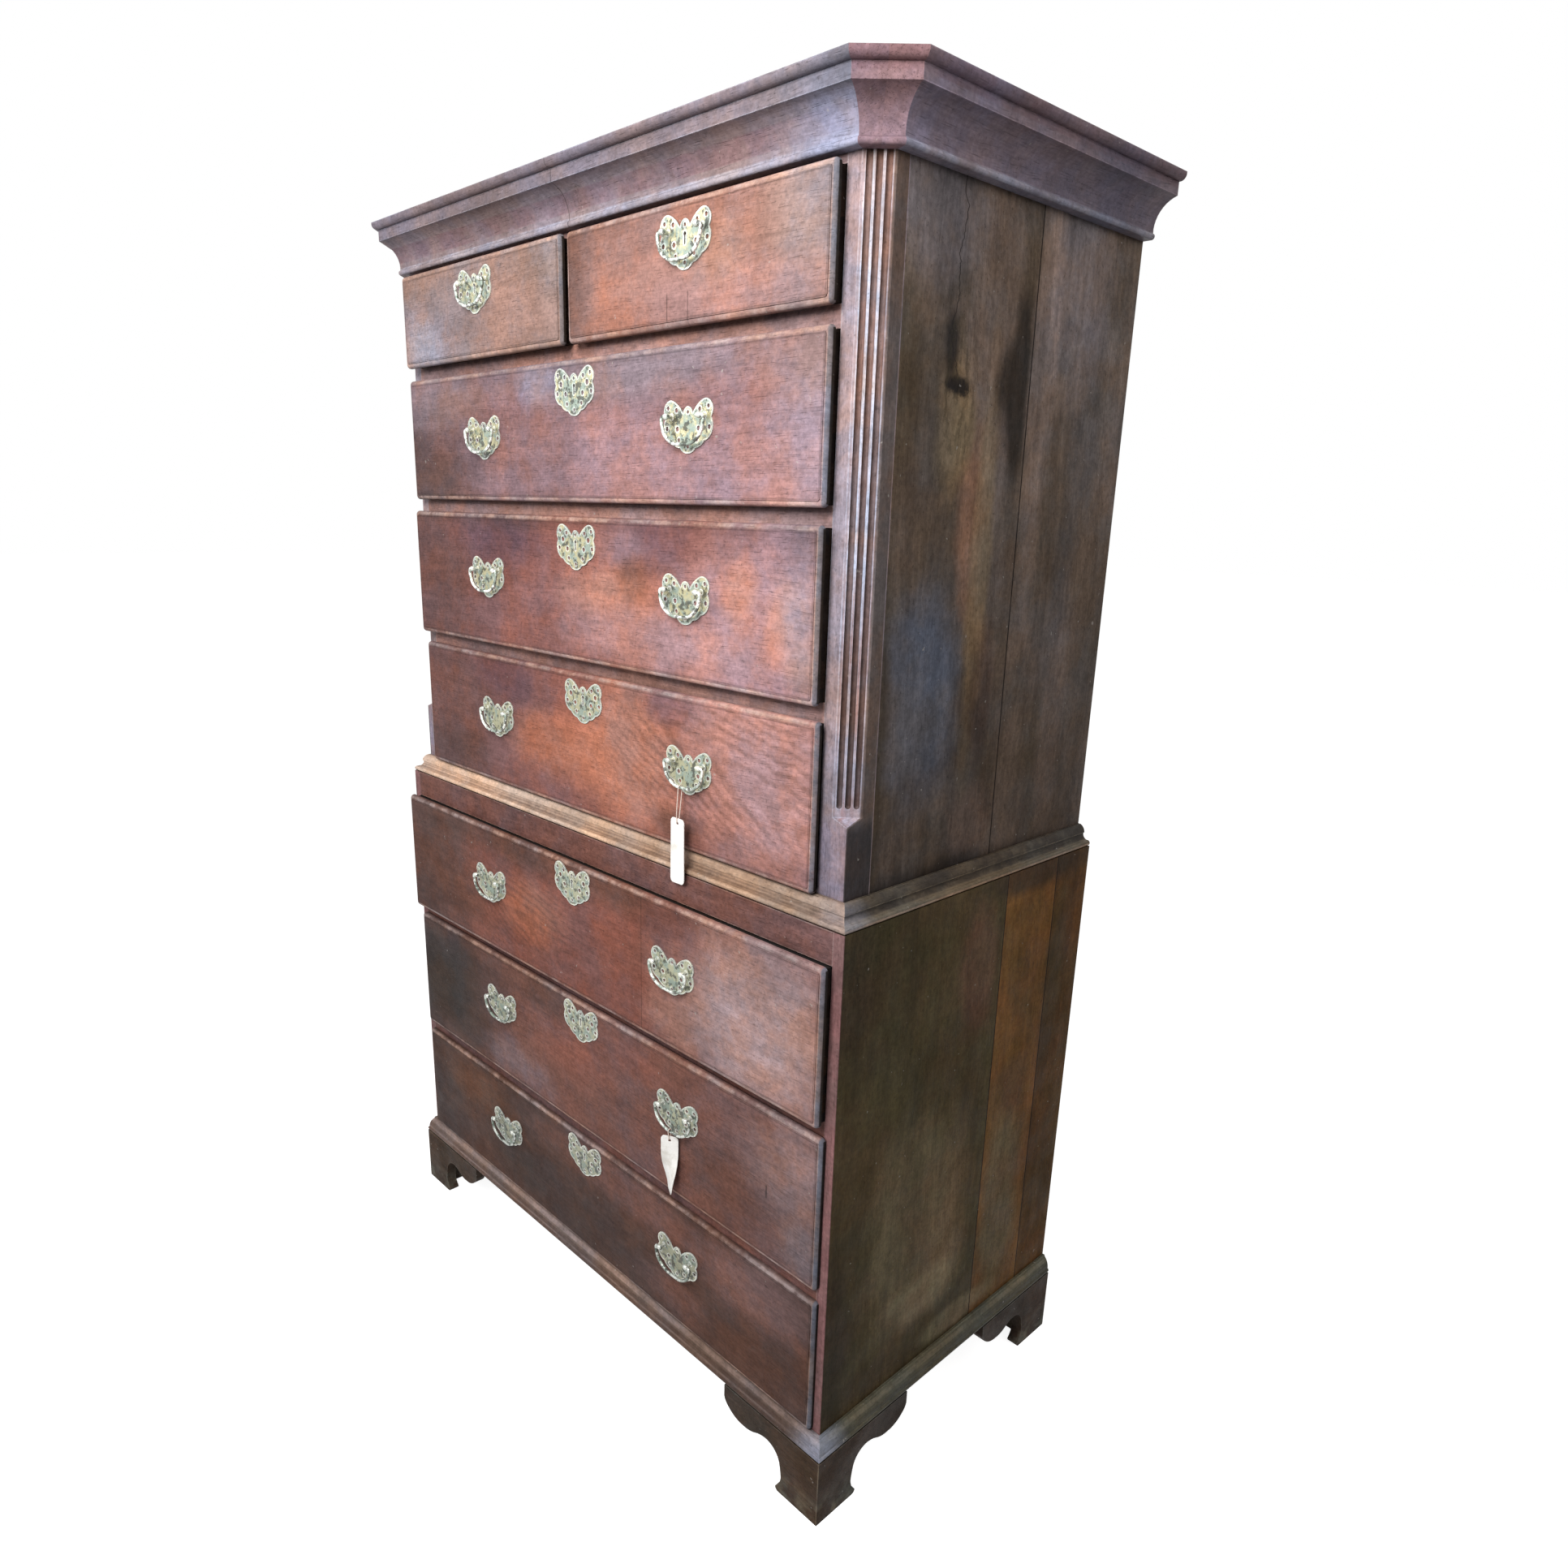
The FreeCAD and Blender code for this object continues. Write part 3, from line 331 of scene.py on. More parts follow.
def finish_wood(g, tone, space, figure=1.0, gloss=(0.36, 0.56), relief=0.0004,
                tints=(WARM_TINT, COOL_TINT), crease_shade=0.40, mottling=0.20, streaky=0.10):
    """Puts the figure on a tone, painted shade into the corners, and the wax finish over it. gloss
    is the roughness of its shiniest and dullest places, relief the depth of its pores in metres,
    crease_shade the brightness of the painted shade in the corners, mottling and streaky the swing
    of those two patterns."""
    factor, height = grain(g, space, figure, mottling, streaky)
    warmth = g.noise(g.vector("ADD", space, (5.0, 5.0, 5.0)), 7.5, 5.0, 0.68)
    tint = g.mix(g.span(warmth, 0.36, 0.64), *tints)
    # painted shade: darker where another surface stands close by
    open_air = g.span(g.crevice(CREVICE), 0.20, 0.75, crease_shade, 1.0)
    factor = g.product(factor, open_air)
    tone = g.scaled(g.vector("MULTIPLY", tone, tint), factor)
    dust = g.product(g.span(g.noise(g.place, 110.0, 2.0, 0.5), 0.73, 0.77), 0.45)
    g.set(g.shader.inputs["Base Color"], g.mix(dust, tone, DUST_SPECK))
    patchy = g.noise(g.place, 16.0, 4.0, 0.65)
    g.set(g.shader.inputs["Roughness"], g.span(patchy, 0.30, 0.70, *gloss))
    g.bump(height, relief)


def worn_and_lit_arrises(g, tone, pale, radius, strength, low=0.01, high=0.20):
    """Arrises paler than the flats: wear, with a painted highlight on it."""
    patchy = g.noise(g.place, 28.0, 4.0, 0.65)
    patchy_rim = g.product(g.arris_mask(radius, low, high), g.span(patchy, 0.34, 0.60, 0.30, 1.0))
    return g.mix(g.product(patchy_rim, strength), tone, pale)


def figured(g, tone, centre, radius_x, radius_z):
    """The nested arches of a flat-sawn board, tips to the left, round a place on its face."""
    from_middle = g.vector("MULTIPLY", g.vector("SUBTRACT", g.place, centre),
                           (1.0 / radius_x, 0.0, 1.0 / radius_z))
    parts = g.add("ShaderNodeSeparateXYZ")
    g.set(parts.inputs[0], from_middle)
    along = parts.outputs[0]
    rise = g.math("ADD", parts.outputs[2], g.product(along, ARCH_TILT))
    across = g.math("SQRT", g.math("ADD", g.product(rise, rise), 0.08))
    uneven = g.product(g.noise(g.place, 9.0, 3.0, 0.5), 0.40)
    arch = g.math("ADD", g.math("SUBTRACT", across, g.product(along, ARCH_DRAW)), uneven)
    lines = g.span(g.math("SINE", g.product(arch, ARCH_COUNT)), -0.4, 1.0)
    near = g.span(g.vector("LENGTH", from_middle), 1.4, 0.5, 0.0, 0.32)
    return g.mix(g.product(lines, near), tone, UMBER)


def on_face(low, high, share_x, share_z):
    """The place on a front at these shares of its width and height."""
    return low.x + (high.x - low.x) * share_x, 0.0, low.z + (high.z - low.z) * share_z


def shaded(tone, share):
    """A tone at a share of its brightness."""
    return tuple(channel * share for channel in tone)


def drawer_material(name, number, base, marks, lines, arches):
    """The front of one drawer. marks are (tone, x share, z share, x radius, z radius, strength),
    lines are (x share, z share, half width, half height), arches are (x share, z share, x radius,
    z radius)."""
    g = Graph(name + "_oak", specular=0.035)
    low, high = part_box(name + "_front")
    tone = g.mix(g.noise(g.vector("ADD", g.place, (number, 0.0, 0.0)), 3.5, 3.0), base,
                 shaded(base, 0.72))
    for index, (mark, share_x, share_z, radius_x, radius_z, strength) in enumerate(marks):
        mask = stain(g, on_face(low, high, share_x, share_z), (radius_x, 0.0, radius_z),
                     number * 10.0 + index)
        tone = g.mix(g.product(mask, strength), tone, mark)
    for share_x, share_z, half_width, half_height in lines:
        x, _, z = on_face(low, high, share_x, share_z)
        across = g.band(g.x, x - half_width, x + half_width, 0.0005)
        along = g.band(g.z, z - half_height, z + half_height, 0.0020)
        tone = g.mix(g.product(across, along, 0.60), tone, NEAR_BLACK)
    for share_x, share_z, radius_x, radius_z in arches:
        tone = figured(g, tone, on_face(low, high, share_x, share_z), radius_x, radius_z)
    tone = lipped(g, tone, low, high, number)
    finish_wood(g, tone, board_space(g, "x", number), mottling=0.12)
    return g.material


def lipped(g, tone, low, high, number):
    """The rim of a front: a worn ovolo with a painted highlight, painted shade in the quirk beside
    it, a painted blue-grey highlight on its right end, and painted shadow, near black, on the
    faces behind the lip."""
    rim = edge_distance(g, (g.x, low.x, high.x), (g.z, low.z, high.z))
    patchy_rim = g.noise(g.vector("ADD", g.place, (0.0, number, 0.0)), 34.0, 4.0, 0.7)
    pale = g.product(g.band(rim, 0.001, 0.0070, 0.002), g.span(patchy_rim, 0.36, 0.62, 0.15, 0.7))
    tone = g.mix(pale, tone, WORN_HIGHLIGHT)
    # painted shade in the quirk inside the lip
    crease_shade = g.product(g.band(rim, 0.0082, 0.0100, 0.0012), 0.40)
    tone = g.mix(crease_shade, tone, NEAR_BLACK)
    # painted blue-grey highlight along the right end of the front
    open_end = g.product(g.span(g.x, high.x - 0.0070, high.x - 0.0040, 0.0, 0.85),
                         g.span(patchy_rim, 0.30, 0.50, 0.75, 1.0))
    tone = g.mix(open_end, tone, EDGE_BLUE)
    # painted shadow: the end face and the faces behind the lip are near black, as in the gap of an
    # open drawer
    end_face = g.product(g.span(g.x, high.x - 0.0012, high.x - 0.0006),
                         g.span(g.y, low.y + 0.0040, low.y + 0.0056))
    behind = g.math("MAXIMUM", end_face, g.span(g.y, low.y + 0.0085, low.y + 0.0105))
    return g.mix(behind, tone, NEAR_BLACK)


def edge_distance(g, *axes):
    """Distance to the nearest of several pairs of limits. Each axis is (coordinate, low, high)."""
    nearest = None
    for value, low, high in axes:
        for side in (g.math("SUBTRACT", value, low), g.math("SUBTRACT", high, value)):
            nearest = side if nearest is None else g.math("MINIMUM", nearest, side)
    return nearest


# Among these marks the dark ones at the left ends are painted shade, the pale and bluish ones at
# the right ends, along the tops and at the lower left of short_drawer_left are painted sheen, and
# the EMBER patches are painted warm reflections. The base tones grow darker from the top drawers
# down, partly as painted shade.
DRAWERS = {
    "short_drawer_left": (TAUPE, [
        (SHEEN_MAUVE, 0.10, 0.20, 0.14, 0.07, 0.55), (HAZE, 0.45, 0.85, 0.25, 0.06, 0.30),
        (DUN, 0.97, 0.55, 0.05, 0.14, 0.90), (HAZE, 0.68, 0.28, 0.20, 0.06, 0.50),
        (SILVER, 0.14, 0.20, 0.06, 0.04, 0.30)]),
    "short_drawer_right": (BERRY_ROSE, [
        (EMBER, 0.38, 0.35, 0.16, 0.08, 0.45), (UMBER, 0.02, 0.60, 0.05, 0.10, 0.60),
        (DUN, 0.96, 0.75, 0.10, 0.12, 0.75), (BLUSH, 0.70, 0.20, 0.25, 0.04, 0.35),
        (TAUPE, 0.62, 0.52, 0.06, 0.04, 0.45)]),
    "upper_drawer_1": (ROSE, [
        (DUSK, 0.00, 0.16, 0.27, 0.13, 0.72), (PLUM, 0.36, 0.95, 0.20, 0.06, 0.55),
        (STEEL, 0.99, 0.88, 0.05, 0.05, 0.35),
        (DUN, 0.60, 0.92, 0.40, 0.05, 0.45), (SHEEN_MAUVE, 0.99, 0.50, 0.09, 0.14, 0.40),
        (SHEEN_BLUE, 0.40, 0.86, 0.06, 0.04, 0.35), (DUN, 0.12, 0.80, 0.14, 0.05, 0.40),
        (ORCHID, 0.75, 0.25, 0.30, 0.07, 0.65)]),
    "upper_drawer_2": (BERRY, [
        (DUSK, 0.04, 0.45, 0.18, 0.20, 0.45), (WINE, 0.28, 0.85, 0.16, 0.06, 0.90),
        (EMBER, 0.60, 0.50, 0.15, 0.05, 0.80), (ORCHID, 0.88, 0.45, 0.20, 0.16, 0.75),
        (PLUM, 0.72, 0.90, 0.08, 0.04, 0.45), (BLUSH, 0.70, 0.22, 0.25, 0.05, 0.70),
        (STEEL, 0.98, 0.92, 0.04, 0.05, 0.40), (EMBER, 0.86, 0.60, 0.04, 0.05, 0.80),
        (CLARET, 0.80, 0.92, 0.10, 0.035, 0.50), (AMBER, 0.93, 0.42, 0.02, 0.05, 0.45),
        (SHEEN_MAUVE, 0.97, 0.50, 0.05, 0.06, 0.60), (ORCHID, 0.60, 0.82, 0.07, 0.03, 0.50),
        (DUN, 0.98, 0.18, 0.04, 0.04, 0.50),
        (UMBER, 0.64, 0.62, 0.035, 0.03, 0.50), (DUSK, 0.30, 0.96, 0.30, 0.02, 0.35)]),
    "upper_drawer_3": (BERRY, [
        (UMBER, 0.08, 0.60, 0.20, 0.14, 0.45), (DUSK, 0.06, 0.12, 0.16, 0.06, 0.55),
        (AMBER, 0.42, 0.45, 0.14, 0.06, 0.45), (WINE, 0.27, 0.85, 0.10, 0.05, 0.80),
        (EMBER, 0.62, 0.52, 0.16, 0.12, 0.85), (PLUM, 0.71, 0.90, 0.06, 0.03, 0.60),
        (BLUSH, 0.90, 0.65, 0.18, 0.20, 0.90), (UMBER, 0.73, 0.14, 0.07, 0.03, 0.70)]),
    "lower_drawer_1": (RUSSET, [
        (UMBER, 0.06, 0.60, 0.22, 0.20, 0.85), (AMBER, 0.38, 0.48, 0.10, 0.06, 0.40),
        (HAZE, 0.90, 0.42, 0.22, 0.16, 1.00), (LIVER, 0.40, 0.95, 0.45, 0.040, 0.70),
        (GLOOM, 0.02, 0.10, 0.10, 0.05, 0.40), (CLARET, 0.72, 0.85, 0.07, 0.05, 0.70),
        (HAZE, 0.74, 0.20, 0.08, 0.05, 0.45)]),
    "lower_drawer_2": (MAROON, [
        (DUSK, 0.08, 0.50, 0.24, 0.20, 0.95), (GLOOM, 0.06, 0.45, 0.12, 0.10, 0.70),
        (SHEEN_MAUVE, 0.32, 0.20, 0.12, 0.04, 0.22), (UMBER, 0.84, 0.35, 0.12, 0.08, 0.35),
        (RUSSET, 0.48, 0.60, 0.14, 0.06, 0.50), (HAZE, 0.96, 0.65, 0.10, 0.10, 0.50),
        (UMBER, 0.40, 0.88, 0.10, 0.04, 0.60), (RUSSET, 0.62, 0.80, 0.10, 0.04, 0.55),
        (DUN, 0.98, 0.20, 0.06, 0.06, 0.40)]),
    "lower_drawer_3": (UMBER, [
        (DUSK, 0.04, 0.50, 0.12, 0.20, 0.60), (TAWNY, 0.18, 0.72, 0.16, 0.05, 0.12),
        (MAROON, 0.64, 0.82, 0.30, 0.05, 0.60), (DUSK, 0.46, 0.30, 0.24, 0.08, 0.50),
        (BRICK, 0.90, 0.75, 0.14, 0.06, 0.75), (GLOOM, 0.28, 0.30, 0.10, 0.05, 0.35),
        (MAROON, 0.72, 0.22, 0.08, 0.04, 0.45)]),
}

# Patched and cut places: (x share, z share, half width, half height).
DRAWER_LINES = {
    "short_drawer_right": [(0.44, 0.14, 0.0008, 0.020), (0.52, 0.14, 0.0008, 0.020)],
    "lower_drawer_1": [(0.665, 0.50, 0.0006, 0.110)],
    "lower_drawer_2": [(0.91, 0.465, 0.0016, 0.011)],
}

# Places with the arched figure of a flat-sawn board: (x share, z share, x radius, z radius).
DRAWER_ARCHES = {
    "upper_drawer_3": [(0.82, 0.60, 0.26, 0.105)],
    "lower_drawer_1": [(0.36, 0.40, 0.22, 0.080)],
}


def stile_material():
    """Corner posts: pale ridges, worn and with a painted highlight, between the flutes of the
    cant, which hold painted shade, a grey front with a painted sheen, all painted lighter towards
    the top, a darker side face and a lilac foot."""
    g = Graph("stile_oak", specular=0.06)
    low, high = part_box("corner_post_right")
    across = g.math("SUBTRACT", high.x, g.math("ABSOLUTE", g.x))
    inward = g.math("SUBTRACT", g.y, low.y)
    depth = g.math("SUBTRACT", g.math("ADD", across, inward), STILE_CANT)
    groove = g.span(depth, 0.0002, 0.0020)
    on_front = g.span(inward, 0.0030, 0.0010)
    on_side = g.span(across, 0.0030, 0.0010)
    patchy = g.noise(g.place, 9.0, 4.0, 0.6)
    # painted highlight on the ridges, fading lower down
    ridge = g.mix(g.span(g.stretched(g.place, (90.0, 90.0, 5.0), 4.0), 0.40, 0.60), SILVER, HAZE)
    ridge = g.mix(g.span(g.z, 1.45, 1.10, 0.0, 0.50), ridge, MAUVE)
    # painted shade in the flutes, lighter towards the top
    flute_shade = g.scaled(g.mix(patchy, DUSK, UMBER), g.span(g.z, 1.10, 1.80, 1.0, 2.4))
    tone = g.mix(g.product(groove, 0.92), ridge, flute_shade)
    # painted sheen on the front, lighter towards the top
    front = g.scaled(g.mix(patchy, SHEEN_MAUVE, SLATE), g.span(g.z, 0.95, 1.65, 0.85, 1.05))
    tone = g.mix(g.product(on_front, 0.85), tone, front)
    foot = g.span(g.z, low.z + STILE_FOOT[1], low.z + STILE_FOOT[0])
    tone = g.mix(g.product(foot, 0.65), tone, LILAC)
    flank = g.mix(foot, g.scaled(WALNUT, 0.56), NEAR_BLACK)
    tone = worn_and_lit_arrises(g, tone, SILVER, 0.0022, 0.70, 0.002, 0.05)
    tone = g.mix(g.product(on_side, 0.94), tone, flank)
    finish_wood(g, tone, board_space(g, "z", 3.0), mottling=0.16)
    return g.material


def rail_material(name, tones, crease_shade):
    """Front rails: their arrises are paler than the wood behind, worn and with a painted
    highlight.
    """
    g = Graph(name, specular=0.04)
    tone = g.mix(g.noise(g.place, 7.0, 3.0), *tones)
    tone = worn_and_lit_arrises(g, tone, WORN_HIGHLIGHT, 0.0030, 0.75)
    # the last number sets the brightness of the painted shade in the rails' corners
    finish_wood(g, tone, board_space(g, "x", 4.0), crease_shade=crease_shade)
    return g.material


# Marks on the outer faces of the sides: (tone, y, z, y radius, z radius, strength).
UPPER_SIDE_MARKS = [
    (GOLDEN, -0.090, 1.550, 0.045, 0.10, 0.65), (GOLDEN, -0.170, 1.660, 0.050, 0.18, 0.12),
    (FAWN, -0.030, 1.700, 0.060, 0.16, 0.50), (GLOOM, 0.038, 1.600, 0.026, 0.13, 0.90),
    (DUN, -0.150, 1.780, 0.100, 0.08, 0.45), (RUST, -0.045, 1.440, 0.034, 0.13, 0.80),
    (NEAR_BLACK, -0.110, 1.636, 0.016, 0.048, 0.90), (NEAR_BLACK, -0.092, 1.596, 0.030, 0.011, 0.95),
    (OLIVE, -0.205, 1.600, 0.035, 0.16, 0.40),
    (GOLDEN, -0.075, 1.545, 0.030, 0.055, 0.85), (RUST, 0.010, 1.020, 0.060, 0.06, 0.35),
    (GLOOM, 0.018, 1.590, 0.036, 0.075, 0.85),
    (FAWN, 0.095, 1.650, 0.034, 0.32, 0.70), (NIGHT, 0.215, 1.560, 0.040, 0.14, 0.35),
    (DUN, 0.170, 1.730, 0.090, 0.14, 0.40), (FAWN, 0.000, 1.500, 0.030, 0.08, 0.45),
    (STEEL, -0.125, 1.210, 0.085, 0.15, 0.80), (GOLDEN, -0.017, 1.360, 0.026, 0.28, 0.55),
    (LIVER, 0.010, 1.210, 0.030, 0.10, 0.50), (FAWN, 0.200, 1.150, 0.035, 0.20, 0.50),
    (NIGHT, 0.190, 1.350, 0.030, 0.12, 0.35), (OLIVE, -0.220, 1.150, 0.030, 0.30, 0.50),
    (NEAR_BLACK, -0.060, 0.940, 0.260, 0.045, 0.85),
]
# On the lower side the ASH marks low down are a painted highlight, and the GLOOM band at z 0.915,
# under the waist moulding, is painted shadow.
LOWER_SIDE_MARKS = [
    (LIVER, 0.030, 0.800, 0.050, 0.12, 0.75), (PEAT, -0.200, 0.820, 0.090, 0.14, 0.60),
    (MOSS, -0.080, 0.400, 0.130, 0.20, 0.75), (MOSS, 0.150, 0.360, 0.060, 0.19, 0.85),
    (ASH, -0.060, 0.262, 0.110, 0.045, 0.60), (ASH, 0.050, 0.175, 0.100, 0.025, 0.50),
    (PEAT, -0.240, 0.250, 0.040, 0.12, 0.70), (OLIVE, -0.150, 0.230, 0.050, 0.05, 0.60),
    (PEAT, 0.250, 0.700, 0.030, 0.16, 0.55), (LIVER, 0.155, 0.550, 0.040, 0.06, 0.50),
    (GLOOM, -0.265, 0.850, 0.060, 0.10, 0.60), (GLOOM, -0.265, 0.300, 0.040, 0.16, 0.65),
    (GLOOM, 0.170, 0.915, 0.150, 0.030, 0.75), (GLOOM, -0.200, 0.180, 0.120, 0.03, 0.35),
]
KNOT = (-0.096, 1.593)           # y and z
SHAKE = (-0.104, 1.600, 1.860)   # y and the two ends of a split above the knot


def knot(g, tone, y, z):
    """A ragged dark eye with the grain flowing round it."""
    from_eye = g.vector("SUBTRACT", g.place, (0.0, y, z))
    uneven = g.product(g.noise(g.place, 46.0, 4.0, 0.70), 2.2)
    eye = g.math("ADD", uneven, g.vector("LENGTH", g.vector("MULTIPLY", from_eye,
                                                            (0.0, 30.0, 78.0))))
    flow = g.math("ADD", uneven, g.vector("LENGTH", g.vector("MULTIPLY", from_eye,
                                                             (0.0, 70.0, 22.0))))
    rings = g.math("SINE", g.product(flow, 5.5))
    near = g.product(g.span(rings, -0.2, 0.9), g.span(flow, 5.5, 1.2, 0.0, 0.45))
    return g.mix(g.span(eye, 2.0, 1.4, 0.0, 0.95), g.mix(near, tone, PEAT), NEAR_BLACK)


def shake(g, tone, y, z0, z1):
    """A thin split that wanders along the grain."""
    wander = g.sway(g.noise(g.point(0.0, 0.0, g.z), 16.0, 4.0), 0.060)
    line = g.band(g.math("ADD", g.y, wander), y - 0.0008, y + 0.0008, 0.0006)
    line = g.product(line, g.band(g.z, z0, z1, 0.010))
    return g.mix(g.product(line, 0.85), tone, NEAR_BLACK)


def side_material(name, front_board, boards, marks, foot_share, tints, edge, knotty=False):
    """Boards of a carcase side. boards are (seam, tone) behind the front one, where a seam is
    the y of the joint in front of the board; there is a dark line at each joint. marks are
    stains, with some painted highlights and shadows among them, foot_share is the brightness at
    the foot beside 1.07 at the top, a painted shade towards the foot, and edge is the tone of the
    narrow face beside the drawers."""
    g = Graph(name + "_oak", specular=0.02)
    low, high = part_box(name + "_right")
    tone = g.mix(g.noise(g.place, 5.0, 4.0, 0.6), front_board, OLIVE)
    for index, (seam, board) in enumerate(boards):
        ragged = g.mix(g.noise(g.place, 6.0 + index, 4.0, 0.6), board, OLIVE)
        tone = g.mix(g.math("GREATER_THAN", g.y, seam), tone, ragged)
    for index, (mark, y, z, radius_y, radius_z, strength) in enumerate(marks):
        mask = stain(g, (0.0, y, z), (0.0, radius_y, radius_z), 40.0 + index, 0.5)
        tone = g.mix(g.product(mask, strength), tone, mark)
    for seam, _ in boards:
        tone = g.mix(g.band(g.y, seam - 0.0012, seam + 0.0012, 0.0006), tone, NEAR_BLACK)
    if knotty:
        tone = shake(g, knot(g, tone, *KNOT), *SHAKE)
    patches = g.stretched(g.place, (7.0, 7.0, 2.6), 4.0, 0.6, 0.8)
    tone = g.scaled(tone, g.span(patches, 0.34, 0.66, 0.84, 1.18))
    # painted shade: the side darker towards its foot
    tone = g.scaled(tone, g.span(g.z, low.z, high.z, foot_share, 1.07))
    tone = g.mix(g.span(g.y, low.y + 0.0018, low.y + 0.0008), tone, edge)
    finish_wood(g, tone, board_space(g, "z", 7.0), 1.6, (0.38, 0.60), tints=tints, mottling=0.15,
                streaky=0.16)
    return g.material


def moulding_space(g, half, front, seed):
    """Grain along the front length, and along the side lengths past the mitres. Sockets 4 and 5
    are the mix node's vectors, 1 its result. Also gives 1 on the side lengths, 0 on the front."""
    reach = g.math("ADD", g.math("ABSOLUTE", g.x), g.y)
    side = g.math("GREATER_THAN", reach, half + front)
    mixed = g.add("ShaderNodeMix", data_type="VECTOR")
    g.set(mixed.inputs[0], side)
    g.set(mixed.inputs[4], g.point(g.x, g.z, g.y))
    g.set(mixed.inputs[5], g.point(g.y, g.z, g.x))
    return g.vector("ADD", mixed.outputs[1], (seed, seed, seed)), side


def on_cant(g):
    """1 on the canted lengths of a moulding that goes round the corner posts."""
    low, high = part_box("corner_post_right")
    across = g.math("SUBTRACT", g.math("ABSOLUTE", g.x), high.x)
    out = g.math("SUBTRACT", low.y, g.y)
    past_front = g.math("SUBTRACT", g.math("ADD", across, STILE_CANT),
                        g.product(out, MITRE_SLOPE))
    past_side = g.math("SUBTRACT", g.math("ADD", out, STILE_CANT),
                       g.product(across, MITRE_SLOPE))
    return g.math("GREATER_THAN", g.math("MINIMUM", past_front, past_side), 0.0)


def banded(g, tone, foot, bands, patchiness):
    """Puts bands of tone on a moulding, some of them painted highlights and painted shade. bands
    are (tone, low z, high z, strength) over its foot.
    """
    for band_tone, z0, z1, strength in bands:
        mask = g.band(g.z, foot + z0, foot + z1, 0.0012)
        mask = g.product(mask, g.span(patchiness, 0.30, 0.60, 0.35, 1.0))
        tone = g.mix(g.product(mask, strength), tone, band_tone)
    return tone


def moulding_material(name, front_tone, side_tone, bands, side_bands, pale, seed, fade,
                      side_fade=1.0, corner_wear_and_sheen=0.0, end_sheen=0.0, cant_tone=None, crack=None):
    """A moulding. bands are bands of tone along it, some of them painted highlights and painted
    shade, as (tone, low z, high z, strength) over its foot, and side_bands those of its sides.
    fade is the brightness of the right end of the front beside that of its left end, side_fade
    that of the back end of a side beside its front end.
    crack is the x of a split across the front."""
    g = Graph(name, specular=0.06)
    low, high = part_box(name)
    space, side = moulding_space(g, high.x, low.y, seed)
    cloudy = g.noise(g.place, 6.0, 4.0, 0.6)
    patchiness = g.noise(space, 14.0, 4.0, 0.7)
    tone = g.mix(cloudy, front_tone, shaded(front_tone, 0.70))
    tone = banded(g, tone, low.z, bands, patchiness)
    tone = worn_and_lit_arrises(g, tone, pale, 0.0030, 0.60)
    tone = g.scaled(tone, g.span(g.x, low.x, high.x, 1.0, fade))
    # painted sheen: blue towards the right end of the front, dimmer on the fascia
    near_end = g.product(g.span(g.x, 0.36, 0.50, 0.0, end_sheen),
                         g.span(cloudy, 0.35, 0.60, 0.5, 1.0))
    tone = g.mix(near_end, tone, g.mix(g.span(g.z, low.z + 0.044, low.z + 0.052), SHEEN_BLUE,
                                       EDGE_BLUE))
    if crack is not None:
        wander = g.sway(g.noise(g.place, 30.0, 2.0), 0.006)
        split = g.band(g.math("ADD", g.x, wander), crack - 0.0006, crack + 0.0006, 0.0004)
        tone = g.mix(g.product(split, 0.8), tone, NEAR_BLACK)
    flank = g.mix(cloudy, side_tone, shaded(side_tone, 0.60))
    flank = banded(g, flank, low.z, side_bands, patchiness)
    # the side's arrises are paled with a lit copy of its tone, a painted highlight
    flank = worn_and_lit_arrises(g, flank, shaded(side_tone, 2.2), 0.0030, 0.65)
    flank = g.scaled(flank, g.span(g.y, low.y, high.y, 1.0, side_fade))
    tone = g.mix(side, tone, flank)
    if cant_tone is not None:
        canted = g.mix(cloudy, cant_tone, shaded(cant_tone, 0.80))
        tone = g.mix(on_cant(g), tone, banded(g, canted, low.z, side_bands[1:], patchiness))
    # painted sheen and wear: the front right corner paled towards SILVER
    corner = g.span(g.vector("LENGTH", g.vector("SUBTRACT", g.place, (high.x, low.y, low.z))),
                    0.075, 0.015, 0.0, corner_wear_and_sheen)
    finish_wood(g, g.mix(corner, tone, SILVER), space, tints=SIDE_TINTS, mottling=0.12)
    return g.material


def foot_material():
    """The bracket feet: darker on their sides, as painted shade, scuffed grey at the floor."""
    g = Graph("foot_oak", specular=0.05)
    tone = g.mix(g.noise(g.place, 11.0, 4.0), PEAT, LIVER)
    low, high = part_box("bracket_feet")
    side = moulding_space(g, high.x, low.y, 0.0)[1]
    # painted shade: the sides of the feet darker than their fronts
    tone = g.scaled(tone, g.span(side, 0.0, 1.0, 0.78, 0.50))
    scuffed = g.product(g.span(g.z, 0.060, 0.006),
                        g.span(g.noise(g.place, 40.0, 4.0), 0.40, 0.60))
    tone = g.mix(g.product(scuffed, 0.6), tone, SCUFF)
    tone = worn_and_lit_arrises(g, tone, WORN_FOOT, 0.0030, 0.60)
    finish_wood(g, tone, board_space(g, "x", 9.0), 1.0, (0.45, 0.70), 0.0007)
    return g.material


def inner_material(name, along, seed, front=None):
    """Bare oak inside the carcase and the drawers. Behind front, the y of a drawer box's front
    end, the first few centimetres are painted near black, as shadow in the drawer's gap."""
    g = Graph(name, specular=0.03)
    tone = g.mix(g.noise(g.place, 6.0, 3.0), BARE_OAK, TAWNY)
    if front is not None:
        tone = g.mix(g.span(g.y, front + 0.050, front + 0.020, 0.0, 0.95), tone, NEAR_BLACK)
    finish_wood(g, tone, board_space(g, along, seed), 1.2, (0.60, 0.80))
    return g.material


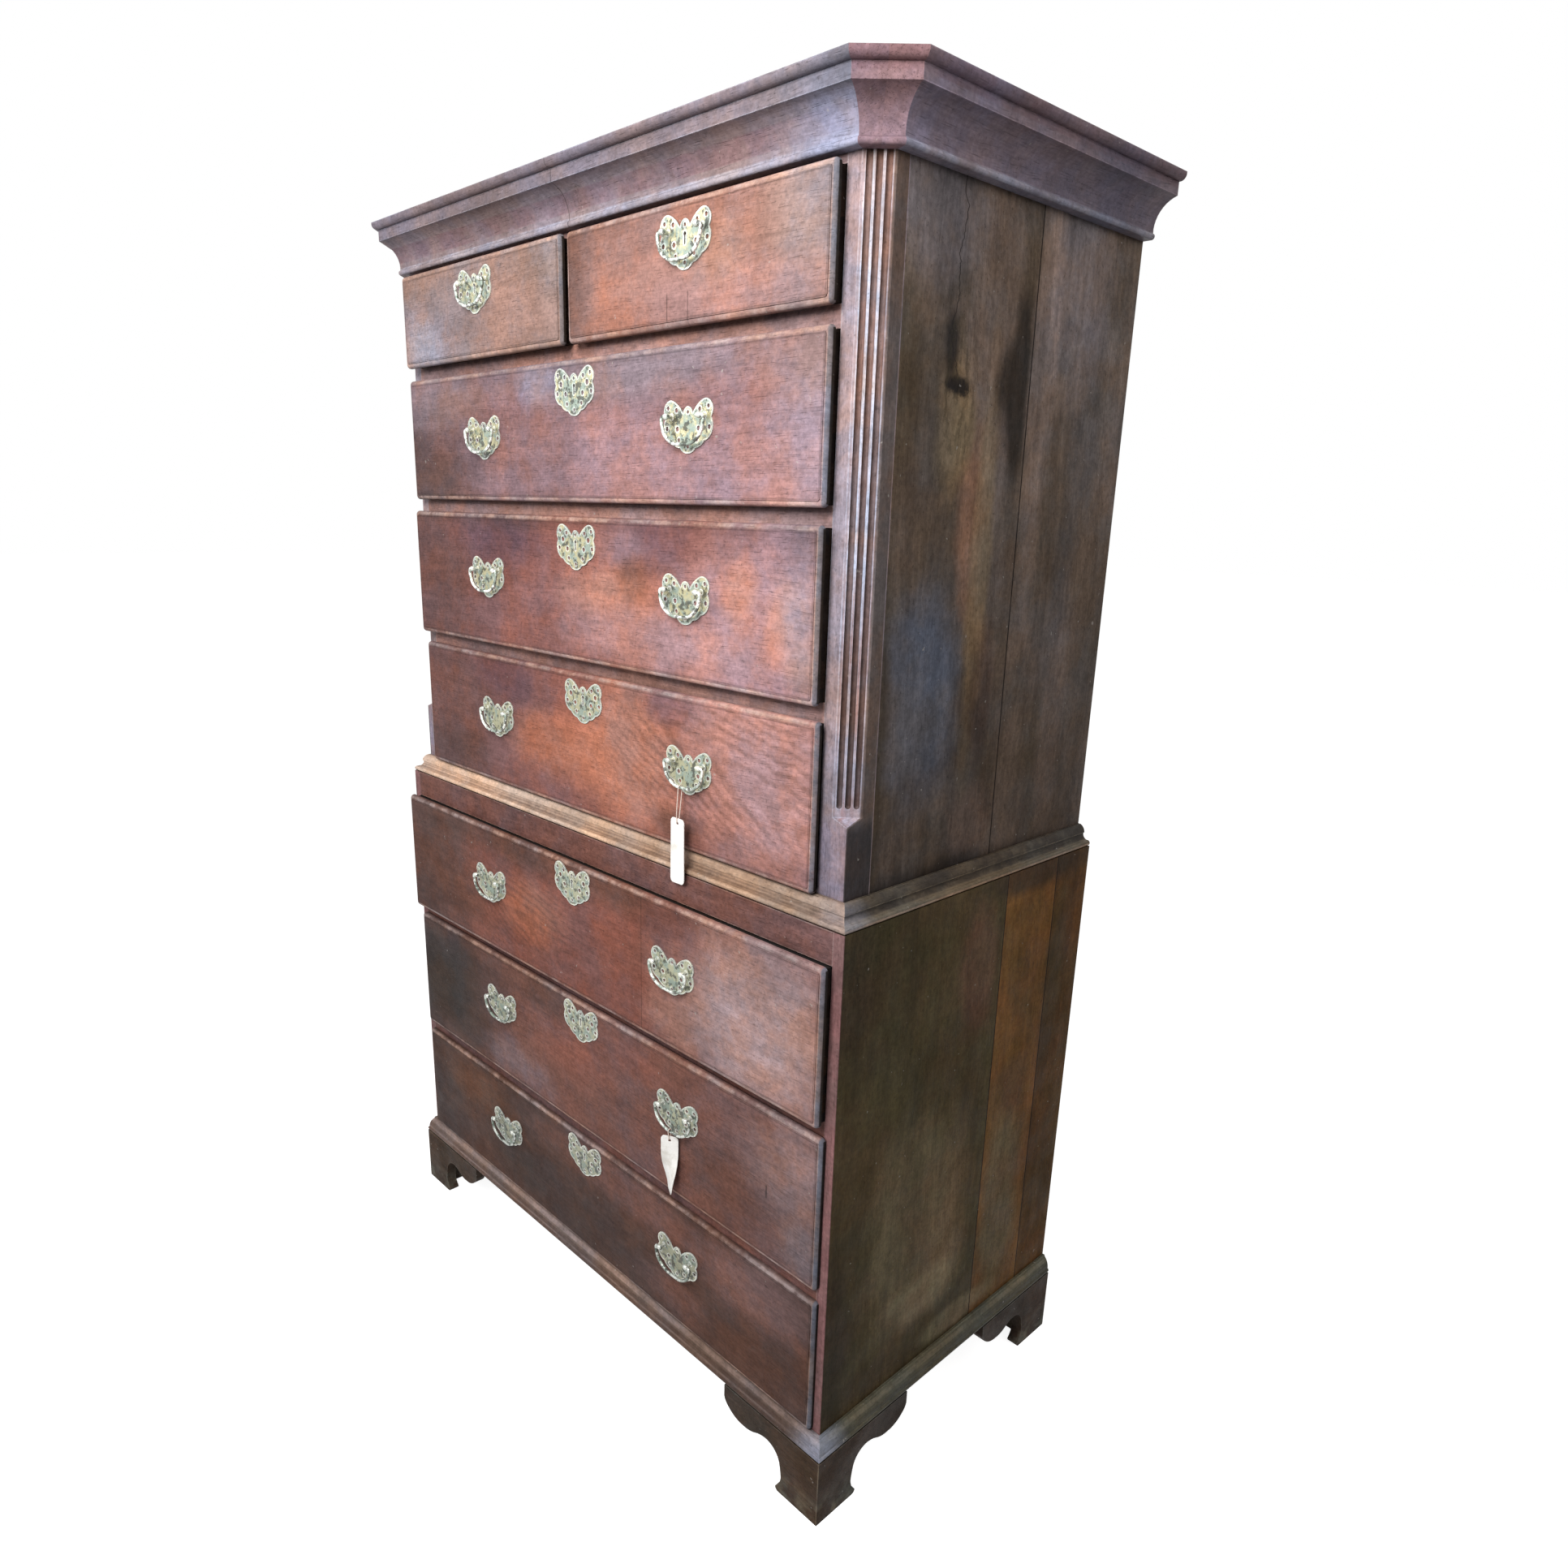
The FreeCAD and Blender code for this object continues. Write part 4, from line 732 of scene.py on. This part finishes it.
def back_material(name):
    """The nailed boards of a back, each of its own tone, grey with dust and dark at the joints."""
    g = Graph(name + "_oak", specular=0.03)
    low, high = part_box(name)
    pitch = (high.x - low.x) / BACK_BOARDS
    place = g.math("DIVIDE", g.math("SUBTRACT", g.x, low.x), pitch)
    board = g.add("ShaderNodeTexWhiteNoise", noise_dimensions="1D")
    g.set(board.inputs["W"], g.math("ADD", g.math("FLOOR", place), low.z))
    tone = g.mix(g.noise(g.place, 5.0, 4.0, 0.65), BACK_OAK, WALNUT)
    tone = g.scaled(tone, g.span(board.outputs["Value"], 0.0, 1.0, 0.72, 1.25))
    joint = g.math("ABSOLUTE", g.math("SUBTRACT", g.math("FRACT", g.math("ADD", place, 0.5)), 0.5))
    tone = g.mix(g.span(joint, 0.012, 0.002, 0.0, 0.85), tone, NEAR_BLACK)
    space = g.vector("ADD", board_space(g, "z", 13.0), g.point(g.math("FLOOR", place), 0.0, 0.0))
    finish_wood(g, tone, space, 2.2, (0.60, 0.80), 0.0008, SIDE_TINTS, mottling=0.12,
                streaky=0.28)
    return g.material


# ---------------------------------------------------------------- brass, card and string
def brass_material(name, body, rim_width):
    """Old brass: pale along its edges, as wear and a painted highlight, green-yellow between, dark
    in the low places with tarnish and painted shade, and painted darker lower down the chest.
    """
    g = Graph(name, specular=0.5, metallic=0.45)
    cloudy = g.noise(g.place, 70.0, 4.0, 0.65)
    fine = g.noise(g.place, 105.0, 4.0, 0.65)
    lower = g.span(g.z, 1.40, 0.90, 0.0, 0.40)
    tone = g.mix(g.math("MAXIMUM", g.span(cloudy, 0.42, 0.58), lower), body, VERDIGRIS)
    tone = g.mix(g.product(g.span(fine, 0.51, 0.58), 0.85), tone, TARNISH)
    # tarnish and painted shade where another surface stands close by
    tone = g.scaled(tone, g.span(g.crevice(0.008), 0.25, 0.85, 0.25, 1.0))
    # painted shade: darker lower down the chest
    tone = g.scaled(tone, g.span(g.z, 0.15, 0.95, 0.66, 1.0))
    # pale rim: wear and a painted highlight along the edges
    edge = g.product(g.arris_mask(rim_width, 0.003, 0.06),
                     g.span(cloudy, 0.25, 0.60, 1.0, 0.70))
    g.set(g.shader.inputs["Base Color"], g.mix(edge, tone, PALE_BRASS))
    g.set(g.shader.inputs["Roughness"], g.span(cloudy, 0.30, 0.70, 0.30, 0.50))
    g.bump(g.math("ADD", cloudy, g.product(fine, 0.5)), 0.0012)
    return g.material


def card_material():
    """Blank card, a little soiled."""
    g = Graph("tag_card", roughness=0.85, specular=0.2)
    fibres = g.noise(g.place, 700.0, 4.0, 0.7)
    smudge = g.noise(g.place, 60.0, 3.0)
    tone = g.mix(g.span(smudge, 0.45, 0.75), CARD, OLD_CARD)
    g.set(g.shader.inputs["Base Color"], g.scaled(tone, g.span(fibres, 0.3, 0.7, 0.94, 1.04)))
    g.bump(fibres, 0.0002)
    return g.material


def string_material():
    """Twisted cotton string."""
    g = Graph("tag_string", roughness=0.9, specular=0.15)
    twist = g.noise(g.place, 1400.0, 2.0)
    tone = g.mix(g.span(twist, 0.35, 0.65), THREAD, OLD_THREAD)
    g.set(g.shader.inputs["Base Color"], tone)
    g.bump(twist, 0.0003)
    return g.material


def dress(node, material):
    """Gives a node one material in place of its own."""
    node.data.materials.clear()
    node.data.materials.append(material)


def dress_frame():
    """Gives every CAD node its finish."""
    brass = brass_material("plate_brass", OLD_BRASS, 0.0042)
    bail = brass_material("bail_brass", PALE_BRASS, 0.0010)
    stile = stile_material()
    upper_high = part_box("upper_side_right")[1]
    lower_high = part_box("lower_side_right")[1]
    upper_side = side_material("upper_side", WALNUT, [(upper_high.y - UPPER_SEAM, WALNUT)],
                               UPPER_SIDE_MARKS, 0.66, SIDE_TINTS, SLATE, knotty=True)
    lower_boards = [(lower_high.y - LOWER_SEAM, TAWNY), (lower_high.y - LOWER_REAR_SEAM, TEAK)]
    lower_side = side_material("lower_side", OLIVE, lower_boards, LOWER_SIDE_MARKS, 0.92,
                               (WARM_TINT, OLIVE_TINT), MAUVE)
    inner = {along: inner_material("inner_oak_" + along, along, seed)
             for along, seed in (("x", 11.0), ("y", 12.0))}
    finishes = {
        "corner_post_left": stile, "corner_post_right": stile,
        "upper_front_rails": rail_material("upper_rail_oak", (CORAL, HAZE), 0.50),
        "lower_front_rails": rail_material("lower_rail_oak", (CLARET, MAROON), 0.25),
        "upper_side_left": upper_side, "upper_side_right": upper_side,
        "lower_side_left": lower_side, "lower_side_right": lower_side,
        # The SILVER bands of the cornice and the pale bead bands of the base moulding are painted
        # highlights, and the GLOOM band on the sides of the waist moulding is painted shade.
        "cornice_moulding": moulding_material(
            "cornice_moulding", SLATE, CORNICE_FLANK,
            [(SILVER, 0.000, 0.011, 0.45), (PLUM, 0.018, 0.040, 0.55),
             (DIM_BLUE, 0.050, 0.079, 0.45)],
            [(SILVER, 0.000, 0.009, 0.55), (PLUM, 0.060, 0.079, 0.40)],
            SILVER, 1.0, 0.90, 0.72, end_sheen=0.65, cant_tone=CORNICE_CANT,
            crack=-0.012),
        "waist_moulding": moulding_material(
            "waist_moulding", TAN, WAIST_FLANK,
            [(CREAM, 0.000, 0.008, 0.80), (UMBER, 0.0095, 0.0115, 0.60),
             (CREAM, 0.018, 0.031, 0.55), (UMBER, 0.0135, 0.0155, 0.45)],
            [(GLOOM, 0.010, 0.036, 0.90), (TAN, 0.000, 0.005, 0.45)],
            CREAM, 2.0, 0.42, corner_wear_and_sheen=0.25),
        "base_moulding": moulding_material(
            "base_moulding", BASE_FRONT, BASE_FLANK,
            [(UMBER, 0.000, 0.020, 0.60), (WORN_HIGHLIGHT, 0.023, 0.029, 0.65), (WORN_HIGHLIGHT, 0.009, 0.013, 0.50)],
            [(GLOOM, 0.000, 0.018, 0.45), (ASH, 0.022, 0.028, 0.35)],
            WORN_HIGHLIGHT, 3.0, 0.55, corner_wear_and_sheen=0.50),
        "bracket_feet": foot_material(),
        "lower_back_boards": back_material("lower_back_boards"),
        "upper_back_boards": back_material("upper_back_boards"),
        "lower_carcase_boards": inner["x"], "upper_carcase_boards": inner["x"],
        "lower_drawer_runners": inner["y"], "upper_drawer_runners": inner["y"],
        "upper_hang_tag": card_material(), "lower_hang_tag": card_material(),
    }
    for number, (name, (base, marks)) in enumerate(DRAWERS.items()):
        finishes[name + "_front"] = drawer_material(name, number + 1.0, base, marks,
                                                    DRAWER_LINES.get(name, []),
                                                    DRAWER_ARCHES.get(name, []))
        finishes[name + "_box"] = inner_material(name + "_inner_oak", "y", 12.0,
                                                 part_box(name + "_box")[0].y)
        finishes[name + "_brasses"] = brass
    for name, node in nodes.items():
        if "_bail" in name:
            finishes[name] = bail
        if name in finishes:
            dress(node, finishes[name])


# ---------------------------------------------------------------- strings of the tags
STRING_DIAMETER = 0.0014
STRING_OVER = 0.0038             # half width of the loop over the rod
STRING_STRAND = 0.0028
STRING_GAP = 0.0007
STRING_NEAR_ROD = 0.0084         # a point six diameters below the rod keeps the strands straight
# Each string: name, tag, rod, drop from the rod to the tag's hole, lean to the front, turn of the
# tag in degrees, and length of the whole loop.
STRINGS = (
    ("upper_string_loop", "upper_hang_tag", (0.255, -0.2856, 1.0590), 0.0505, 0.0050, 0.0, 0.1164),
    ("lower_string_loop", "lower_hang_tag", (0.255, -0.3036, 0.5095), 0.0145, 0.0, 30.0, 0.0439),
)


def loop_points(rod, drop, lean, degrees):
    """The string from the tag's hole up behind the rod, over it and down in front of it."""
    turn = Matrix.Rotation(math.radians(degrees), 3, "Z")
    foot = Vector(rod) - Vector((0.0, lean, drop))
    share = (STRING_NEAR_ROD + STRING_OVER) / (drop + STRING_OVER)
    half = []
    for side in (1, -1):
        strand = foot + turn @ Vector((0.0, side * STRING_STRAND, 0.0))
        over = Vector(rod) + Vector((0.0, side * STRING_OVER, STRING_OVER))
        half.append([foot + turn @ Vector((0.0, side * STRING_GAP, 0.0)), strand,
                     over.lerp(strand, share), over])
    return half[0] + half[1][::-1]


def string(name, body, rod, drop, lean, degrees, length):
    """One loop of string, which swings with its tag."""
    points = loop_points(rod, drop, lean, degrees)
    curve = bpy.data.curves.new(name, "CURVE")
    curve.dimensions = "3D"
    curve.bevel_depth = STRING_DIAMETER / 2
    curve.bevel_resolution = 3
    curve.use_fill_caps = True
    curve.resolution_u = 16
    spline = curve.splines.new("NURBS")
    spline.points.add(len(points) - 1)
    for control, point in zip(spline.points, points):
        control.co = (*point, 1.0)
    spline.order_u = 3
    spline.use_endpoint_u = True
    piece = bpy.data.objects.new(name, curve)
    bpy.context.scene.collection.objects.link(piece)
    curve.materials.append(string_material())
    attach(piece, body)
    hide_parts(body.replace("hang_tag", "tag_string"))


# ---------------------------------------------------------------- stage, light and camera
FLOOR_GLOW = 0.90
WORLD_FILL = 0.30
WHITE = (1.0, 1.0, 1.0)
COOL_LIGHT = (0.88, 0.92, 1.0)
# Each lamp: name, place, target, size in metres, power in watts, colour.
LAMPS = (
    ("key", (0.75, -1.75, 2.35), (0.25, -0.28, 1.25), (1.0, 1.0), 62.0, WHITE),
    ("sheen", (-1.7, -2.6, 2.2), (0.2, -0.28, 1.5), (1.4, 1.0), 26.0, COOL_LIGHT),
    ("side_fill", (3.0, 0.9, 2.8), (0.55, 0.1, 1.3), (1.8, 1.4), 26.0, WHITE),
)


def seen_white(tree, low, high):
    """high where the camera, a shine or a clear thing looks at it, low for all other light."""
    path = tree.nodes.new("ShaderNodeLightPath")
    looks = path.outputs["Is Camera Ray"]
    for kind in ("Is Glossy Ray", "Is Transmission Ray"):
        either = tree.nodes.new("ShaderNodeMath")
        either.operation = "MAXIMUM"
        tree.links.new(looks, either.inputs[0])
        tree.links.new(path.outputs[kind], either.inputs[1])
        looks = either.outputs[0]
    level = tree.nodes.new("ShaderNodeMapRange")
    tree.links.new(looks, level.inputs[0])
    level.inputs[3].default_value = low
    level.inputs[4].default_value = high
    return level.outputs[0]


def floor():
    """Pale paper. Its glow is for the camera and for shines, so it lights the chest no more than
    a grey floor does."""
    bpy.ops.mesh.primitive_plane_add(size=60.0, location=(0.0, 0.0, 0.0))
    piece = bpy.context.object
    piece.name = "floor"
    material = bpy.data.materials.new("floor_paper")
    material.use_nodes = True
    tree = material.node_tree
    tree.nodes.clear()
    output = tree.nodes.new("ShaderNodeOutputMaterial")
    diffuse = tree.nodes.new("ShaderNodeBsdfDiffuse")
    diffuse.inputs["Color"].default_value = (*FLOOR_GREY, 1.0)
    glow = tree.nodes.new("ShaderNodeEmission")
    tree.links.new(seen_white(tree, 0.0, FLOOR_GLOW), glow.inputs["Strength"])
    both = tree.nodes.new("ShaderNodeAddShader")
    tree.links.new(diffuse.outputs[0], both.inputs[0])
    tree.links.new(glow.outputs[0], both.inputs[1])
    tree.links.new(both.outputs[0], output.inputs["Surface"])
    piece.data.materials.append(material)


def world():
    """White to the eye, a soft grey fill for the rest."""
    sky = bpy.data.worlds.new("studio")
    sky.use_nodes = True
    bpy.context.scene.world = sky
    tree = sky.node_tree
    background = tree.nodes["Background"]
    tree.links.new(seen_white(tree, WORLD_FILL, 1.0), background.inputs["Strength"])
    background.inputs["Color"].default_value = (*WHITE, 1.0)


def lamp(name, place, target, size, power, colour):
    """A soft rectangular lamp that looks at its target."""
    light = bpy.data.lights.new(name, "AREA")
    light.shape = "RECTANGLE"
    light.size, light.size_y = size
    light.energy = power
    light.color = colour
    piece = bpy.data.objects.new(name, light)
    piece.location = place
    piece.rotation_euler = (Vector(target) - Vector(place)).to_track_quat("-Z", "Y").to_euler()
    bpy.context.scene.collection.objects.link(piece)


def camera():
    """The photograph's camera, as found by fitting the chest's corners."""
    data = bpy.data.cameras.new("view")
    data.lens = CAMERA_LENS
    data.sensor_width = CAMERA_SENSOR
    data.shift_x, data.shift_y = CAMERA_SHIFT
    piece = bpy.data.objects.new("view", data)
    right, down, ahead = Vector(CAMERA_RIGHT), Vector(CAMERA_DOWN), Vector(CAMERA_AHEAD)
    turn = Matrix((right, -down, -ahead)).transposed().to_4x4()
    piece.matrix_world = Matrix.Translation(CAMERA_PLACE) @ turn
    bpy.context.scene.collection.objects.link(piece)
    bpy.context.scene.camera = piece


dress_frame()
for row in STRINGS:
    string(*row)
floor()
world()
for row in LAMPS:
    lamp(*row)
camera()
bpy.context.scene.view_settings.view_transform = "Standard"
